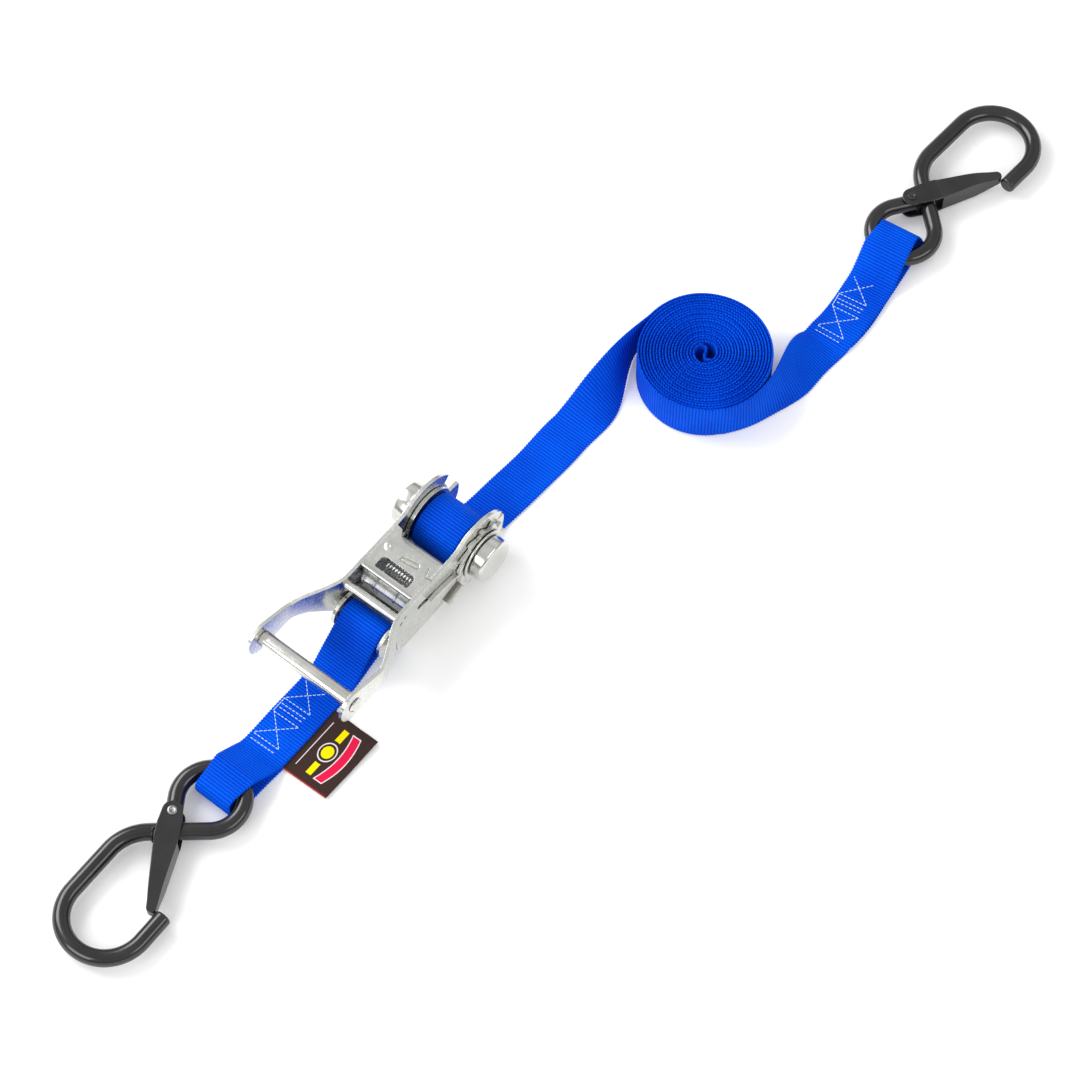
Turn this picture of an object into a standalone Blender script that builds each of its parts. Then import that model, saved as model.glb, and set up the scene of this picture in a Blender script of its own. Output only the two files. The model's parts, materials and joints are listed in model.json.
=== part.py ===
"""Ratchet tie down for 25 mm webbing: a hand ratchet, a short strap and a long coiled strap, and two snap hooks.

Lengths are in millimetres and MM turns them into metres. The world origin is the centre of the base frame's flat
underside, +X runs along the straps towards the coil, +Y along the spindle, and +Z is up.
"""

import math

import bmesh
import bpy
from mathutils import Vector

MM = 0.001

# Webbing
WEB_WIDTH = 25.4
WEB_THICK = 1.3
HALF_WEB = WEB_WIDTH / 2
HALF_FOLD = 11.0
LAYER_STEP = 1.6

# Spindle, counted from the world origin; the ratchet's own pieces are drawn around it
SPINDLE_X = 51.0
SPINDLE_Z = 22.0
SPINDLE_RADIUS = 5.6
SPINDLE_SLOT = 2.4
SPINDLE_END = 26.0
SPINDLE_HOLE = 6.0
DRUM_RADIUS = 15.6

# Layers of the ratchet along the spindle, as half widths from the middle plane
BASE_IN, BASE_OUT = 13.7, 15.7
HANDLE_IN, HANDLE_OUT = 16.1, 18.1
WHEEL_IN, WHEEL_OUT = 18.5, 20.6
WASHER_IN, WASHER_OUT = 21.0, 22.2
CAP_IN, CAP_OUT = 22.5, 29.5
EAR_END = 20.8

# Ratchet wheels, washers and caps
WHEEL_TEETH = 12
WHEEL_TIP = 18.6
WHEEL_ROOT = 15.4
WASHER_RADIUS = 14.6
CAP_RADIUS = 12.3
CAP_BEVEL = 1.4

# Base frame
BASE_DISC = 17.0
BASE_NOSE = 24.0
BOLT_X, BOLT_Z = -66.0, -3.6
BOLT_EYE = 9.0
BOLT_RADIUS = 3.2
BOLT_END = 15.95
BOLT_CLEAR = 0.3
SLEEVE_RADIUS = 6.2
FLOOR_START, FLOOR_END, FLOOR_THICK = -58.0, -44.0, 2.0

# Handle
HANDLE_DISC = 23.5
HANDLE_THROAT = 18.3
HANDLE_TOP = 18.0
SHEET = 2.0
GRIP_X, GRIP_Z = -110.0, 15.0
GRIP_RADIUS = 4.2
GRIP_ROD_RADIUS = 2.8
ARM_END_RADIUS = 10.0
FLARE_START, FLARE_END, FLARE = -58.0, -92.0, 12.5
CROSS_ROD_X, CROSS_ROD_Z, CROSS_ROD_RADIUS = -60.0, 12.0, 2.2
WEB_PLATE_FRONT, WEB_PLATE_BACK = -24.5, -49.5

# Pawls
PAWL_THICK = 2.5
DRIVE_ANGLE = math.radians(9.0)
DRIVE_TIP = 19.0
DRIVE_EAR_BACK = 40.0
DRIVE_BACK = 50.0
LOCK_ANGLE = math.radians(15.3)
LOCK_TIP = (-15.1, -12.4)
LOCK_EAR_LENGTH = 12.0
LOCK_LENGTH = 22.0
PAWL_TRAVEL = 5.0
SPRING_WIRE = 0.45
SPRING_RADIUS = 2.4

# Hook: wire centre line as circles joined by tangents, from the butt end to the open tip
WIRE_RADIUS = 4.4
HOOK_Z = 7.4
HOOK_BUTT = (2.4, 1.45)
EYE_CENTRE, EYE_RADIUS = (-17.5, 8.8), 16.8
THROAT_CENTRE, THROAT_RADIUS = (32.8, 11.1), 24.0
BOW_CENTRE, BOW_RADIUS = (59.3, 9.0), 22.0
HOOK_TIP = (41.8, 31.0)
GATE_ANGLE = math.radians(28.5)
GATE_IN, GATE_OUT = 5.4, 6.25
GATE_LENGTH = 52.5
RIVET_RADIUS = 1.5
RIVET_HEAD = 2.6
RIVET_TOP = 7.2
GATE_SPRING_WIRE = 0.35

# Places of the straps and hooks, counted from the foot of the spindle
HOOK_A = (-200.8, 10.4)
HOOK_A_TURN = math.radians(180.85)
SWING_A = -148.7
HOOK_B_EYE = (300.8, -68.8)
HOOK_B_TURN = math.radians(-3.9)
STRAP_B_TURN = math.radians(7.0)
SWING_REACH = 34.5
SWING_GAP = 1.0
DRIFT_A, DRIFT_B = -1.3, -1.2
COIL_CENTRE = (164.3, -37.6)
COIL_RADIUS = 36.3
COIL_TURNS = 9.5
RUN_SIDE = -3.5
DOUBLE_START = 226.0
TAG_START, TAG_END = -106.0, -146.5
TAG_NEAR, TAG_FAR = -13.1, -39.0

ZINC = ("zinc", (0.72, 0.73, 0.71), 0.28, 1.0)
BRIGHT = ("bright_steel", (0.78, 0.78, 0.77), 0.2, 1.0)
BLACK = ("black_coating", (0.05, 0.05, 0.055), 0.42, 0.4)
BLUE = ("blue_webbing", (0.0, 0.09, 0.75), 0.75, 0.0)
TAG = ("tag_cloth", (0.06, 0.03, 0.03), 0.7, 0.0)


def clear_scene():
    for obj in list(bpy.data.objects):
        bpy.data.objects.remove(obj, do_unlink=True)


def material(recipe):
    name, colour, roughness, metallic = recipe
    found = bpy.data.materials.get(name)
    if found:
        return found
    made = bpy.data.materials.new(name)
    made.use_nodes = True
    shader = made.node_tree.nodes["Principled BSDF"]
    shader.inputs["Base Color"].default_value = (*colour, 1.0)
    shader.inputs["Roughness"].default_value = roughness
    shader.inputs["Metallic"].default_value = metallic
    return made


def empty(name, place, parent=None, turn=(0.0, 0.0, 0.0)):
    obj = bpy.data.objects.new(name, None)
    obj.location = Vector(place) * MM
    obj.rotation_euler = turn
    obj.parent = parent
    bpy.context.scene.collection.objects.link(obj)
    return obj


def add(name, bm, recipe, parent, place=(0.0, 0.0, 0.0), turn=(0.0, 0.0, 0.0)):
    """Turns a bmesh in millimetres into an object."""
    bmesh.ops.scale(bm, vec=(MM, MM, MM), verts=bm.verts)
    bmesh.ops.recalc_face_normals(bm, faces=bm.faces)
    mesh = bpy.data.meshes.new(name)
    bm.to_mesh(mesh)
    bm.free()
    mesh.shade_smooth()
    mesh.set_sharp_from_angle(angle=math.radians(35))
    obj = bpy.data.objects.new(name, mesh)
    obj.location = Vector(place) * MM
    obj.rotation_euler = turn
    obj.parent = parent
    if recipe:
        mesh.materials.append(material(recipe))
    bpy.context.scene.collection.objects.link(obj)
    return obj


def combine(obj, bm, operation, turn=(0.0, 0.0, 0.0), place=(0.0, 0.0, 0.0)):
    """Joins a helper shape to an object, or cuts it away, with a Boolean."""
    number = len(obj.modifiers)
    helper = add(f"{obj.name}_helper_{number}", bm, None, obj.parent, place, turn)
    helper.hide_render = True
    helper.display_type = "WIRE"
    boolean = obj.modifiers.new(f"{operation.lower()}_{number}", "BOOLEAN")
    boolean.operation = operation
    boolean.solver = "EXACT"
    boolean.object = helper


def arc(centre, radius, start, end, steps):
    """Points of an arc from one angle to another, in degrees."""
    angles = (math.radians(start + (end - start) * i / steps) for i in range(steps + 1))
    return [(centre[0] + radius * math.cos(a), centre[1] + radius * math.sin(a)) for a in angles]


def box(low, high):
    bm = bmesh.new()
    bmesh.ops.create_cube(bm, size=1.0)
    for vert in bm.verts:
        vert.co = Vector(high[i] if vert.co[i] > 0 else low[i] for i in range(3))
    return bm


def prism(outline, low, high, axis="Y"):
    """A flat outline extruded between two heights, along Y from (x, z) points or along Z from (x, y) points."""
    bm = bmesh.new()
    if axis == "Y":
        corners = [bm.verts.new((x, low, z)) for x, z in outline]
        way = Vector((0, high - low, 0))
    else:
        corners = [bm.verts.new((x, y, low)) for x, y in outline]
        way = Vector((0, 0, high - low))
    face = bm.faces.new(corners)
    grown = bmesh.ops.extrude_face_region(bm, geom=[face])["geom"]
    moved = [item for item in grown if isinstance(item, bmesh.types.BMVert)]
    bmesh.ops.translate(bm, vec=way, verts=moved)
    return bm


def cylinder(radius, low, high, centre=(0.0, 0.0), axis="Y", steps=24):
    return prism(arc(centre, radius, 0, 360 - 360 / steps, steps - 1), low, high, axis)


def slot(start, end, half_height, low, high):
    """A round-ended slot along X, cut through along Y."""
    outline = arc((end, 0.0), half_height, -90, 90, 8) + arc((start, 0.0), half_height, 90, 270, 8)
    return prism(outline, low, high)


def turned(profile, axis="Y", steps=24):
    """A closed turned shape from (radius, height) points; a profile that meets the axis starts and ends on it."""
    bm = bmesh.new()
    up = Vector((0, 1, 0)) if axis == "Y" else Vector((0, 0, 1))
    verts = [bm.verts.new(Vector((radius, 0, 0)) + up * height) for radius, height in profile]
    pairs = list(zip(verts, verts[1:]))
    if profile[0][0] > 0:
        pairs.append((verts[-1], verts[0]))
    edges = [bm.edges.new(pair) for pair in pairs]
    bmesh.ops.spin(
        bm, geom=verts + edges, cent=(0, 0, 0), axis=up, angle=math.tau, steps=steps, use_merge=True
    )
    bmesh.ops.remove_doubles(bm, verts=bm.verts, dist=1e-5)
    return bm


def sweep(stations):
    """A closed solid through a list of rings of points, all with the same number of points."""
    bm = bmesh.new()
    rings = [[bm.verts.new(point) for point in ring] for ring in stations]
    for one, two in zip(rings, rings[1:]):
        for i in range(len(one)):
            j = (i + 1) % len(one)
            bm.faces.new((one[i], one[j], two[j], two[i]))
    bm.faces.new(rings[0])
    bm.faces.new(reversed(rings[-1]))
    return bm


def directions(points):
    """The direction of travel at each point of an open path."""
    last = len(points) - 1
    return [(points[min(i + 1, last)] - points[max(i - 1, 0)]).normalized() for i in range(last + 1)]


def wire(points, radius, sides, up):
    """A round wire along 3D points; up stays across the wire, so the path may not run along it."""
    rings = []
    for point, way in zip(points, directions(points)):
        side = way.cross(up).normalized()
        top = side.cross(way)
        turns = (math.tau * i / sides for i in range(sides))
        rings.append([point + radius * (side * math.cos(a) + top * math.sin(a)) for a in turns])
    return sweep(rings)


def ribbon(edges, thickness):
    """A strap between two edge lines, given as pairs of points, with one thickness for each pair."""
    middles = [(low + high) / 2 for low, high in edges]
    rings = []
    for (low, high), way, thick in zip(edges, directions(middles), thickness):
        normal = way.cross(high - low).normalized() * thick / 2
        rings.append([low - normal, high - normal, high + normal, low + normal])
    return sweep(rings)


def tangent_path(stops, step):
    """A plane line that wraps round circles: each stop is (centre, radius, turn), turn +1 is anticlockwise.

    The first and last stops are plain points with radius 0. Arcs get a point about every step millimetres.
    """
    headings = []
    for (one, r1, t1), (two, r2, t2) in zip(stops, stops[1:]):
        across, along = two[0] - one[0], two[1] - one[1]
        lean = math.asin((t2 * r2 - t1 * r1) / math.hypot(across, along))
        headings.append(math.atan2(along, across) - lean)
    points = [stops[0][0]]
    for (centre, radius, turn), start, end in zip(stops[1:-1], headings, headings[1:]):
        sweep_angle = (end - start) * turn % math.tau
        steps = max(1, math.ceil(sweep_angle * radius / step))
        for i in range(steps + 1):
            heading = start + turn * sweep_angle * i / steps
            points.append(
                (centre[0] + turn * radius * math.sin(heading), centre[1] - turn * radius * math.cos(heading))
            )
    points.append(stops[-1][0])
    return points


def smooth(value, start, end):
    """0 at start, 1 at end, with an S-shaped rise."""
    t = min(max((value - start) / (end - start), 0.0), 1.0)
    return t * t * (3 - 2 * t)


# Base frame -------------------------------------------------------------------------------------------------


def base_outline():
    """One side plate: round the spindle, out to the nose in front, along the floor and round the anchor bolt."""
    foot = -SPINDLE_Z
    return (
        arc((0, 0), BASE_DISC, 187, 8, 20)
        + arc((0, 0), BASE_NOSE, 4, -20, 4)
        + [(20.0, -13.0), (16.0, foot), (FLOOR_START + 2.0, foot)]
        + arc((BOLT_X, BOLT_Z), BOLT_EYE, 240, 80, 10)
    )


def build_base_frame(ratchet):
    foot = -SPINDLE_Z
    bm = box((FLOOR_START, -BASE_IN - 1.0, foot), (FLOOR_END, BASE_IN + 1.0, foot + FLOOR_THICK))
    base = add("base_frame", bm, ZINC, ratchet)
    for low, high in ((-BASE_OUT, -BASE_IN), (BASE_IN, BASE_OUT)):
        combine(base, prism(base_outline(), low, high), "UNION")
    through = (-BASE_OUT - 2, BASE_OUT + 2)
    combine(base, cylinder(SPINDLE_HOLE, *through), "DIFFERENCE")
    combine(base, cylinder(BOLT_RADIUS + BOLT_CLEAR, *through, centre=(BOLT_X, BOLT_Z)), "DIFFERENCE")
    lock_slot = slot(-LOCK_EAR_LENGTH - PAWL_TRAVEL - 0.4, 0.4, PAWL_THICK / 2 + 0.5, *through)
    place = (LOCK_TIP[0], 0, LOCK_TIP[1])
    combine(base, lock_slot, "DIFFERENCE", turn=(0, -LOCK_ANGLE, 0), place=place)


def build_anchor(ratchet):
    place = (BOLT_X, 0, BOLT_Z)
    bolt = [(0, -BOLT_END), (BOLT_RADIUS, -BOLT_END), (BOLT_RADIUS, BOLT_END), (0, BOLT_END)]
    add("anchor_bolt", turned(bolt), BRIGHT, ratchet, place)
    hole, end = BOLT_RADIUS + BOLT_CLEAR, BASE_IN - 0.3
    sleeve = turned([(hole, -end), (SLEEVE_RADIUS, -end), (SLEEVE_RADIUS, end), (hole, end)])
    add("anchor_sleeve", sleeve, BRIGHT, ratchet, place)


def coil_spring(half_length, turns):
    """A closed-coil torsion spring with its axis along Y."""
    per_turn, sides = 12, 5
    count = turns * per_turn
    points = []
    for i in range(count + 1):
        angle = math.tau * i / per_turn
        y = -half_length + 2 * half_length * i / count
        points.append(Vector((SPRING_RADIUS * math.cos(angle), y, SPRING_RADIUS * math.sin(angle))))
    return wire(points, SPRING_WIRE, sides, Vector((0, 1, 0)))


def pawl(tip, ear_back, back, half_body):
    """A flat pawl plate along -X with two ears that reach out to the wheels."""
    near = [(-tip, -EAR_END), (-tip, EAR_END), (-ear_back, EAR_END), (-ear_back, half_body)]
    far = [(-back, half_body), (-back, -half_body), (-ear_back, -half_body), (-ear_back, -EAR_END)]
    return prism(near + far, -PAWL_THICK / 2, PAWL_THICK / 2, "Z")


def build_lock_pawl(ratchet):
    place = (LOCK_TIP[0], 0, LOCK_TIP[1])
    bm = pawl(0.0, LOCK_EAR_LENGTH, LOCK_LENGTH, BASE_IN - 0.4)
    add("lock_pawl", bm, ZINC, ratchet, place, (0, -LOCK_ANGLE, 0))
    add("lock_pawl_spring", coil_spring(8.0, 9), BRIGHT, ratchet, (-31.0, 0, -9.0))


# Handle -----------------------------------------------------------------------------------------------------


def handle_outline():
    """One side plate, from the spool end over the top edge to the grip, and back along the lower edge."""
    grip = (GRIP_X, GRIP_Z)
    top = [(-13.0, HANDLE_TOP + 0.8), (-20.0, HANDLE_TOP), (-66.0, HANDLE_TOP), (-88.0, HANDLE_TOP - 0.6)]
    low = [(-94.0, 5.4), (-88.0, 4.6), (-80.0, 1.4), (-72.0, -4.4), (-64.0, -10.4), (-56.0, -14.2), (-48.0, -16.0)]
    cut_out = [(-37.0, -16.0), (-36.0, -12.0), (-21.0, -8.5)]
    return (
        arc((0, 0), HANDLE_DISC, 32, 108, 12)
        + top
        + arc(grip, ARM_END_RADIUS, 80, 270, 12)
        + low
        + cut_out
        + arc((0, 0), HANDLE_THROAT, 205, 392, 24)
    )


def side_plate(side):
    """A handle side plate: flat round the spool, then flaring outwards to the grip."""
    bm = prism(handle_outline(), HANDLE_IN, HANDLE_OUT)
    cuts = 9
    for i in range(cuts + 1):
        x = FLARE_START + (FLARE_END - FLARE_START) * i / cuts
        geometry = bm.verts[:] + bm.edges[:] + bm.faces[:]
        bmesh.ops.bisect_plane(bm, geom=geometry, plane_co=(x, 0, 0), plane_no=(1, 0, 0), dist=1e-4)
    for vert in bm.verts:
        vert.co.y = side * (vert.co.y + FLARE * smooth(vert.co.x, FLARE_START, FLARE_END))
    return bm


def build_handle(handle):
    reach = HANDLE_IN + 1.0
    low_web = (WEB_PLATE_BACK, -reach, HANDLE_TOP - SHEET)
    high_web = (WEB_PLATE_FRONT, reach, HANDLE_TOP - 0.1)
    frame = add("handle_frame", box(low_web, high_web), ZINC, handle)
    for side in (-1, 1):
        combine(frame, side_plate(side), "UNION")
    through = (-HANDLE_OUT - FLARE - 3, HANDLE_OUT + FLARE + 3)
    combine(frame, cylinder(SPINDLE_HOLE, *through), "DIFFERENCE")
    rod_hole = cylinder(CROSS_ROD_RADIUS + 0.3, *through, centre=(CROSS_ROD_X, CROSS_ROD_Z), steps=16)
    combine(frame, rod_hole, "DIFFERENCE")
    grip_hole = cylinder(GRIP_ROD_RADIUS + 0.3, *through, centre=(GRIP_X, GRIP_Z), steps=16)
    combine(frame, grip_hole, "DIFFERENCE")
    ear_slot = slot(-DRIVE_EAR_BACK - PAWL_TRAVEL - 1.0, -DRIVE_TIP + 1.0, PAWL_THICK / 2 + 0.6, *through)
    combine(frame, ear_slot, "DIFFERENCE", turn=(0, DRIVE_ANGLE, 0))
    window = arc((-41.0, 8.0), 2.5, 0, 90, 4) + arc((-41.0, -8.0), 2.5, -90, 0, 4)
    window = [(-46.0, -10.5)] + window[5:] + window[:5] + [(-46.0, 10.5)]
    combine(frame, prism(window, HANDLE_TOP - 4, HANDLE_TOP + 2, "Z"), "DIFFERENCE")


def build_grip(handle):
    hole = GRIP_ROD_RADIUS + 0.3
    inner = HANDLE_IN + FLARE - 0.3
    tube = turned([(hole, -inner), (GRIP_RADIUS, -inner), (GRIP_RADIUS, inner), (hole, inner)])
    add("grip_tube", tube, BRIGHT, handle, (GRIP_X, 0, GRIP_Z))
    outer, head = HANDLE_OUT + FLARE + 0.3, 1.2
    half = [(0, outer + head), (3.6, outer + head), (4.2, outer), (GRIP_ROD_RADIUS, outer)]
    rod = turned([(radius, -y) for radius, y in half] + half[::-1])
    add("grip_rod", rod, BRIGHT, handle, (GRIP_X, 0, GRIP_Z))
    end = HANDLE_OUT + 0.4
    add("cross_rod", cylinder(CROSS_ROD_RADIUS, -end, end), BRIGHT, handle, (CROSS_ROD_X, 0, CROSS_ROD_Z))


def build_drive_pawl(handle):
    turn = (0, DRIVE_ANGLE, 0)
    bm = pawl(DRIVE_TIP, DRIVE_EAR_BACK, DRIVE_BACK, HANDLE_IN - 0.5)
    plate = add("drive_pawl", bm, ZINC, handle, turn=turn)
    pull = box((-DRIVE_BACK, -14.0, -1.0), (-DRIVE_BACK + 1.6, 14.0, 5.0))
    combine(plate, pull, "UNION", turn=turn)
    for y in (-6.5, 6.5):
        rib = box((-DRIVE_BACK + 1.0, y - 0.8, 0.0), (-DRIVE_EAR_BACK - 4.5, y + 0.8, 4.2))
        combine(plate, rib, "UNION", turn=turn)
    add("drive_pawl_spring", coil_spring(8.0, 9), BRIGHT, handle, (-39.0, 0, 11.6))


# Spindle ----------------------------------------------------------------------------------------------------


def wheel_outline():
    """Saw teeth: each rises slowly and drops steeply."""
    points = []
    for tooth in range(WHEEL_TEETH):
        start = tooth * math.tau / WHEEL_TEETH
        for share, radius in ((0.0, WHEEL_ROOT), (0.12, WHEEL_ROOT), (0.72, WHEEL_TIP), (0.92, WHEEL_TIP)):
            angle = start + share * math.tau / WHEEL_TEETH
            points.append((radius * math.cos(angle), radius * math.sin(angle)))
    return points


def build_spindle(spindle):
    edge = math.degrees(math.asin(SPINDLE_SLOT / 2 / SPINDLE_RADIUS))
    for name, turn in (("spindle_half_upper", 0), ("spindle_half_lower", 180)):
        outline = arc((0, 0), SPINDLE_RADIUS, turn + edge, turn + 180 - edge, 14)
        add(name, prism(outline, -SPINDLE_END, SPINDLE_END), BRIGHT, spindle)
    hole = SPINDLE_HOLE
    drum = [(hole, -HALF_WEB), (DRUM_RADIUS, -HALF_WEB), (DRUM_RADIUS, HALF_WEB), (hole, HALF_WEB)]
    add("webbing_drum", turned(drum, steps=32), BLUE, spindle)
    washer = [(hole, WASHER_IN), (WASHER_RADIUS, WASHER_IN), (WASHER_RADIUS, WASHER_OUT), (hole, WASHER_OUT)]
    recess = SPINDLE_END + 0.4
    cap = [
        (0, recess),
        (hole, recess),
        (hole, CAP_IN),
        (CAP_RADIUS, CAP_IN),
        (CAP_RADIUS, CAP_OUT - CAP_BEVEL),
        (CAP_RADIUS - CAP_BEVEL, CAP_OUT),
        (0, CAP_OUT),
    ]
    for word, side in (("left", 1), ("right", -1)):
        low, high = sorted((side * WHEEL_IN, side * WHEEL_OUT))
        wheel = add(f"ratchet_wheel_{word}", prism(wheel_outline(), low, high), ZINC, spindle)
        combine(wheel, cylinder(hole, low - 2, high + 2), "DIFFERENCE")
        add(f"spindle_washer_{word}", turned([(r, side * y) for r, y in washer]), ZINC, spindle)
        add(f"spindle_cap_{word}", turned([(r, side * y) for r, y in cap]), BRIGHT, spindle)


# Short strap and tag ----------------------------------------------------------------------------------------


def even_band(points):
    """A strap of full width that runs in the XZ plane."""
    edges = [(Vector((x, -HALF_WEB, z)), Vector((x, HALF_WEB, z))) for x, z in points]
    return ribbon(edges, [WEB_THICK] * len(edges))


def build_short_strap(axis):
    """The two layers of the short strap, looped round the anchor bolt. It is drawn round the bolt's axis."""
    floor = -SPINDLE_Z - BOLT_Z + WEB_THICK / 2
    upper = floor + LAYER_STEP
    loop = SLEEVE_RADIUS + 0.4 + WEB_THICK / 2
    bend, bend_x = 12.0, -33.0
    end = SWING_A - BOLT_X + SWING_GAP
    stops = [
        ((end, floor), 0, 1),
        ((bend_x, floor + bend), bend, 1),
        ((0.0, 0.0), loop, 1),
        ((bend_x, upper + bend), bend, -1),
        ((end, upper), 0, 1),
    ]
    add("short_strap", even_band(tangent_path(stops, 1.6)), BLUE, axis)


def build_tag(axis):
    low = (TAG_END - BOLT_X, TAG_FAR, -SPINDLE_Z - BOLT_Z + 1.0)
    high = (TAG_START - BOLT_X, TAG_NEAR, -SPINDLE_Z - BOLT_Z + 1.7)
    add("label_tag", box(low, high), TAG, axis)


def build_strap_eye(name, axis, drift):
    """The loop of strap that holds a hook, drawn from the swing axis towards -X, lying on the floor at z = 0.

    It drifts sideways on its way to the hook, as the hook doesn't lie quite in line with its strap.
    """
    top, floor = WEB_THICK / 2 + LAYER_STEP, WEB_THICK / 2
    over = WIRE_RADIUS + 0.4 + WEB_THICK / 2
    near = -SWING_REACH + EYE_RADIUS
    far = -SWING_REACH + over
    stops = [
        ((-SWING_GAP, top), 0, 1),
        ((-SWING_GAP - 2.5, top + 5.0), 5.0, -1),
        ((near, HOOK_Z), over, 1),
        ((far, HOOK_Z), over, 1),
        ((-SWING_GAP, floor), 0, 1),
    ]
    edges = []
    for x, z in tangent_path(stops, 1.6):
        half = HALF_WEB + (HALF_FOLD - HALF_WEB) * smooth(x, near + 6.0, far)
        side = drift * smooth(-x, 0.0, -near)
        edges.append((Vector((x, side - half, z)), Vector((x, side + half, z))))
    add(name, ribbon(edges, [WEB_THICK] * len(edges)), BLUE, axis)


# Hooks ------------------------------------------------------------------------------------------------------


def hook_line(step):
    """The hook wire's centre line in its own plane, with the rivet at the origin and the bow towards +X."""
    stops = [
        (HOOK_BUTT, 0, 1),
        (EYE_CENTRE, EYE_RADIUS, -1),
        (THROAT_CENTRE, THROAT_RADIUS, 1),
        (BOW_CENTRE, BOW_RADIUS, 1),
        (HOOK_TIP, 0, 1),
    ]
    return tangent_path(stops, step)


def hook_wire():
    points = [Vector((x, y, 0)) for x, y in hook_line(4.5)]
    return wire(points, WIRE_RADIUS, 12, Vector((0, 0, 1)))


def gate_shell():
    """The full outline of the gate, along +X from its rivet, before it is hollowed."""
    outline = (
        arc((0, 0), 5.3, 90, 270, 10)
        + [(7.0, -6.3), (14.0, -6.4), (GATE_LENGTH - 4, -2.8)]
        + arc((GATE_LENGTH - 3.1, 0.0), 3.1, -80, 80, 6)
        + [(14.0, 6.2), (7.0, 6.2)]
    )
    return prism(outline, -GATE_OUT, GATE_OUT, "Z")


def gate_hollow():
    """What is cut from the gate, so that two flanges and an outer spine stay."""
    nose = GATE_LENGTH - 3.0
    outline = [(-10, -10), (nose, -10), (nose, 2.0), (16, 4.9), (16, 12), (-10, 12)]
    return prism(outline, -GATE_IN, GATE_IN, "Z")


def gate_spring():
    """A thin wire that runs from beside the rivet over the throat of the hook and down its inner side."""
    heading = Vector((math.cos(math.radians(-57)), math.sin(math.radians(-57)), 0))
    inward = Vector((-heading.y, heading.x, 0))
    crossing = Vector((THROAT_CENTRE[0], THROAT_CENTRE[1], 0)) - inward * THROAT_RADIUS
    up = Vector((0, 0, 1))
    reach = WIRE_RADIUS + 0.15 + GATE_SPRING_WIRE
    start = Vector((3.4, 4.0, 0)) + up * reach
    top = crossing + up * reach
    points = [start.lerp(top, i / 4) for i in range(4)]
    for i in range(10):
        angle = math.radians(90 - 14 * i)
        points.append(crossing + reach * (inward * math.cos(angle) + up * math.sin(angle)))
    return wire(points, GATE_SPRING_WIRE, 6, heading)


def build_hook(letter, frame):
    """One snap hook with its gate. The gate's origin is on the rivet's axis."""
    hook = add(f"hook_wire_{letter}", hook_wire(), BLACK, frame)
    combine(hook, cylinder(RIVET_RADIUS + 0.2, -6, 6, axis="Z", steps=12), "DIFFERENCE")
    turn = (0, 0, GATE_ANGLE)
    gate = add(f"gate_{letter}", gate_shell(), BLACK, frame, turn=turn)
    combine(gate, gate_hollow(), "DIFFERENCE", turn=turn)
    combine(gate, cylinder(RIVET_RADIUS + 0.2, -8, 8, axis="Z", steps=12), "DIFFERENCE")
    head = [(0, RIVET_TOP), (RIVET_HEAD - 0.6, RIVET_TOP), (RIVET_HEAD, GATE_OUT + 0.25)]
    half = head + [(RIVET_RADIUS, GATE_OUT + 0.25)]
    rivet = turned([(r, -z) for r, z in half] + half[::-1], axis="Z", steps=16)
    add(f"gate_rivet_{letter}", rivet, BRIGHT, frame)
    add(f"gate_spring_{letter}", gate_spring(), BLACK, frame)


# Long strap -------------------------------------------------------------------------------------------------


def coil_line():
    """Centre line of the coil, seen from above and round its centre: in along one arm, out along the other."""
    per_turn = 22
    arm = []
    for i in range(int(COIL_TURNS * per_turn) + 1):
        swept = math.tau * i / per_turn
        radius = COIL_RADIUS - 2 * LAYER_STEP * swept / math.tau
        angle = math.pi / 2 - swept
        arm.append((radius * math.cos(angle), radius * math.sin(angle)))
    core = abs(arm[-1][1]) / 2
    lower = arc((0, -core), core, 270, 90, 8)[1:]
    upper = arc((0, core), core, -90, 90, 8)[1:-1]
    return arm + lower + upper + [(-x, -y) for x, y in reversed(arm)]


def lifted(low, high, x):
    """The pair of edge points of a leaning strap: low edge on the floor, high edge raised to keep the width."""
    lean = min(max((high - low) / WEB_WIDTH, -1.0), 1.0)
    rise = WEB_WIDTH * math.sqrt(1 - lean * lean)
    rest = abs(lean) * WEB_THICK / 2
    return Vector((x, low, rest)), Vector((x, high, rest + rise))


def run_to_coil():
    """From under the drum, down to the floor, along it, and up on edge against the coil's +Y side."""
    cx, cy = COIL_CENTRE
    edges = []
    start_z = SPINDLE_Z - DRUM_RADIUS - 0.3 - WEB_THICK / 2
    for x in (3.0, 8.0, 13.0, 19.0, 26.0, 34.0, 50.0, 70.0, 90.0, 110.0):
        side = RUN_SIDE * smooth(x, 10.0, 80.0)
        z = start_z + (WEB_THICK / 2 - start_z) * smooth(x, -4.0, 34.0)
        edges.append((Vector((x, side - HALF_WEB, z)), Vector((x, side + HALF_WEB, z))))
    flat_low, flat_high = RUN_SIDE - HALF_WEB, RUN_SIDE + HALF_WEB
    start, steps = 118.0, 18
    for i in range(steps):
        x = start + (cx - start) * i / steps
        back = cx - x
        round_y = cy + math.sqrt(max(COIL_RADIUS**2 - back**2, 0.0))
        hug = smooth(x, cx - 34.0, cx - 24.0)
        low = flat_low + (max(round_y, flat_low) - flat_low) * hug
        high = flat_high + (cy + COIL_RADIUS - flat_high) * smooth(x, start, cx)
        edges.append(lifted(low, max(high, low + 0.01), x))
    return edges


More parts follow.
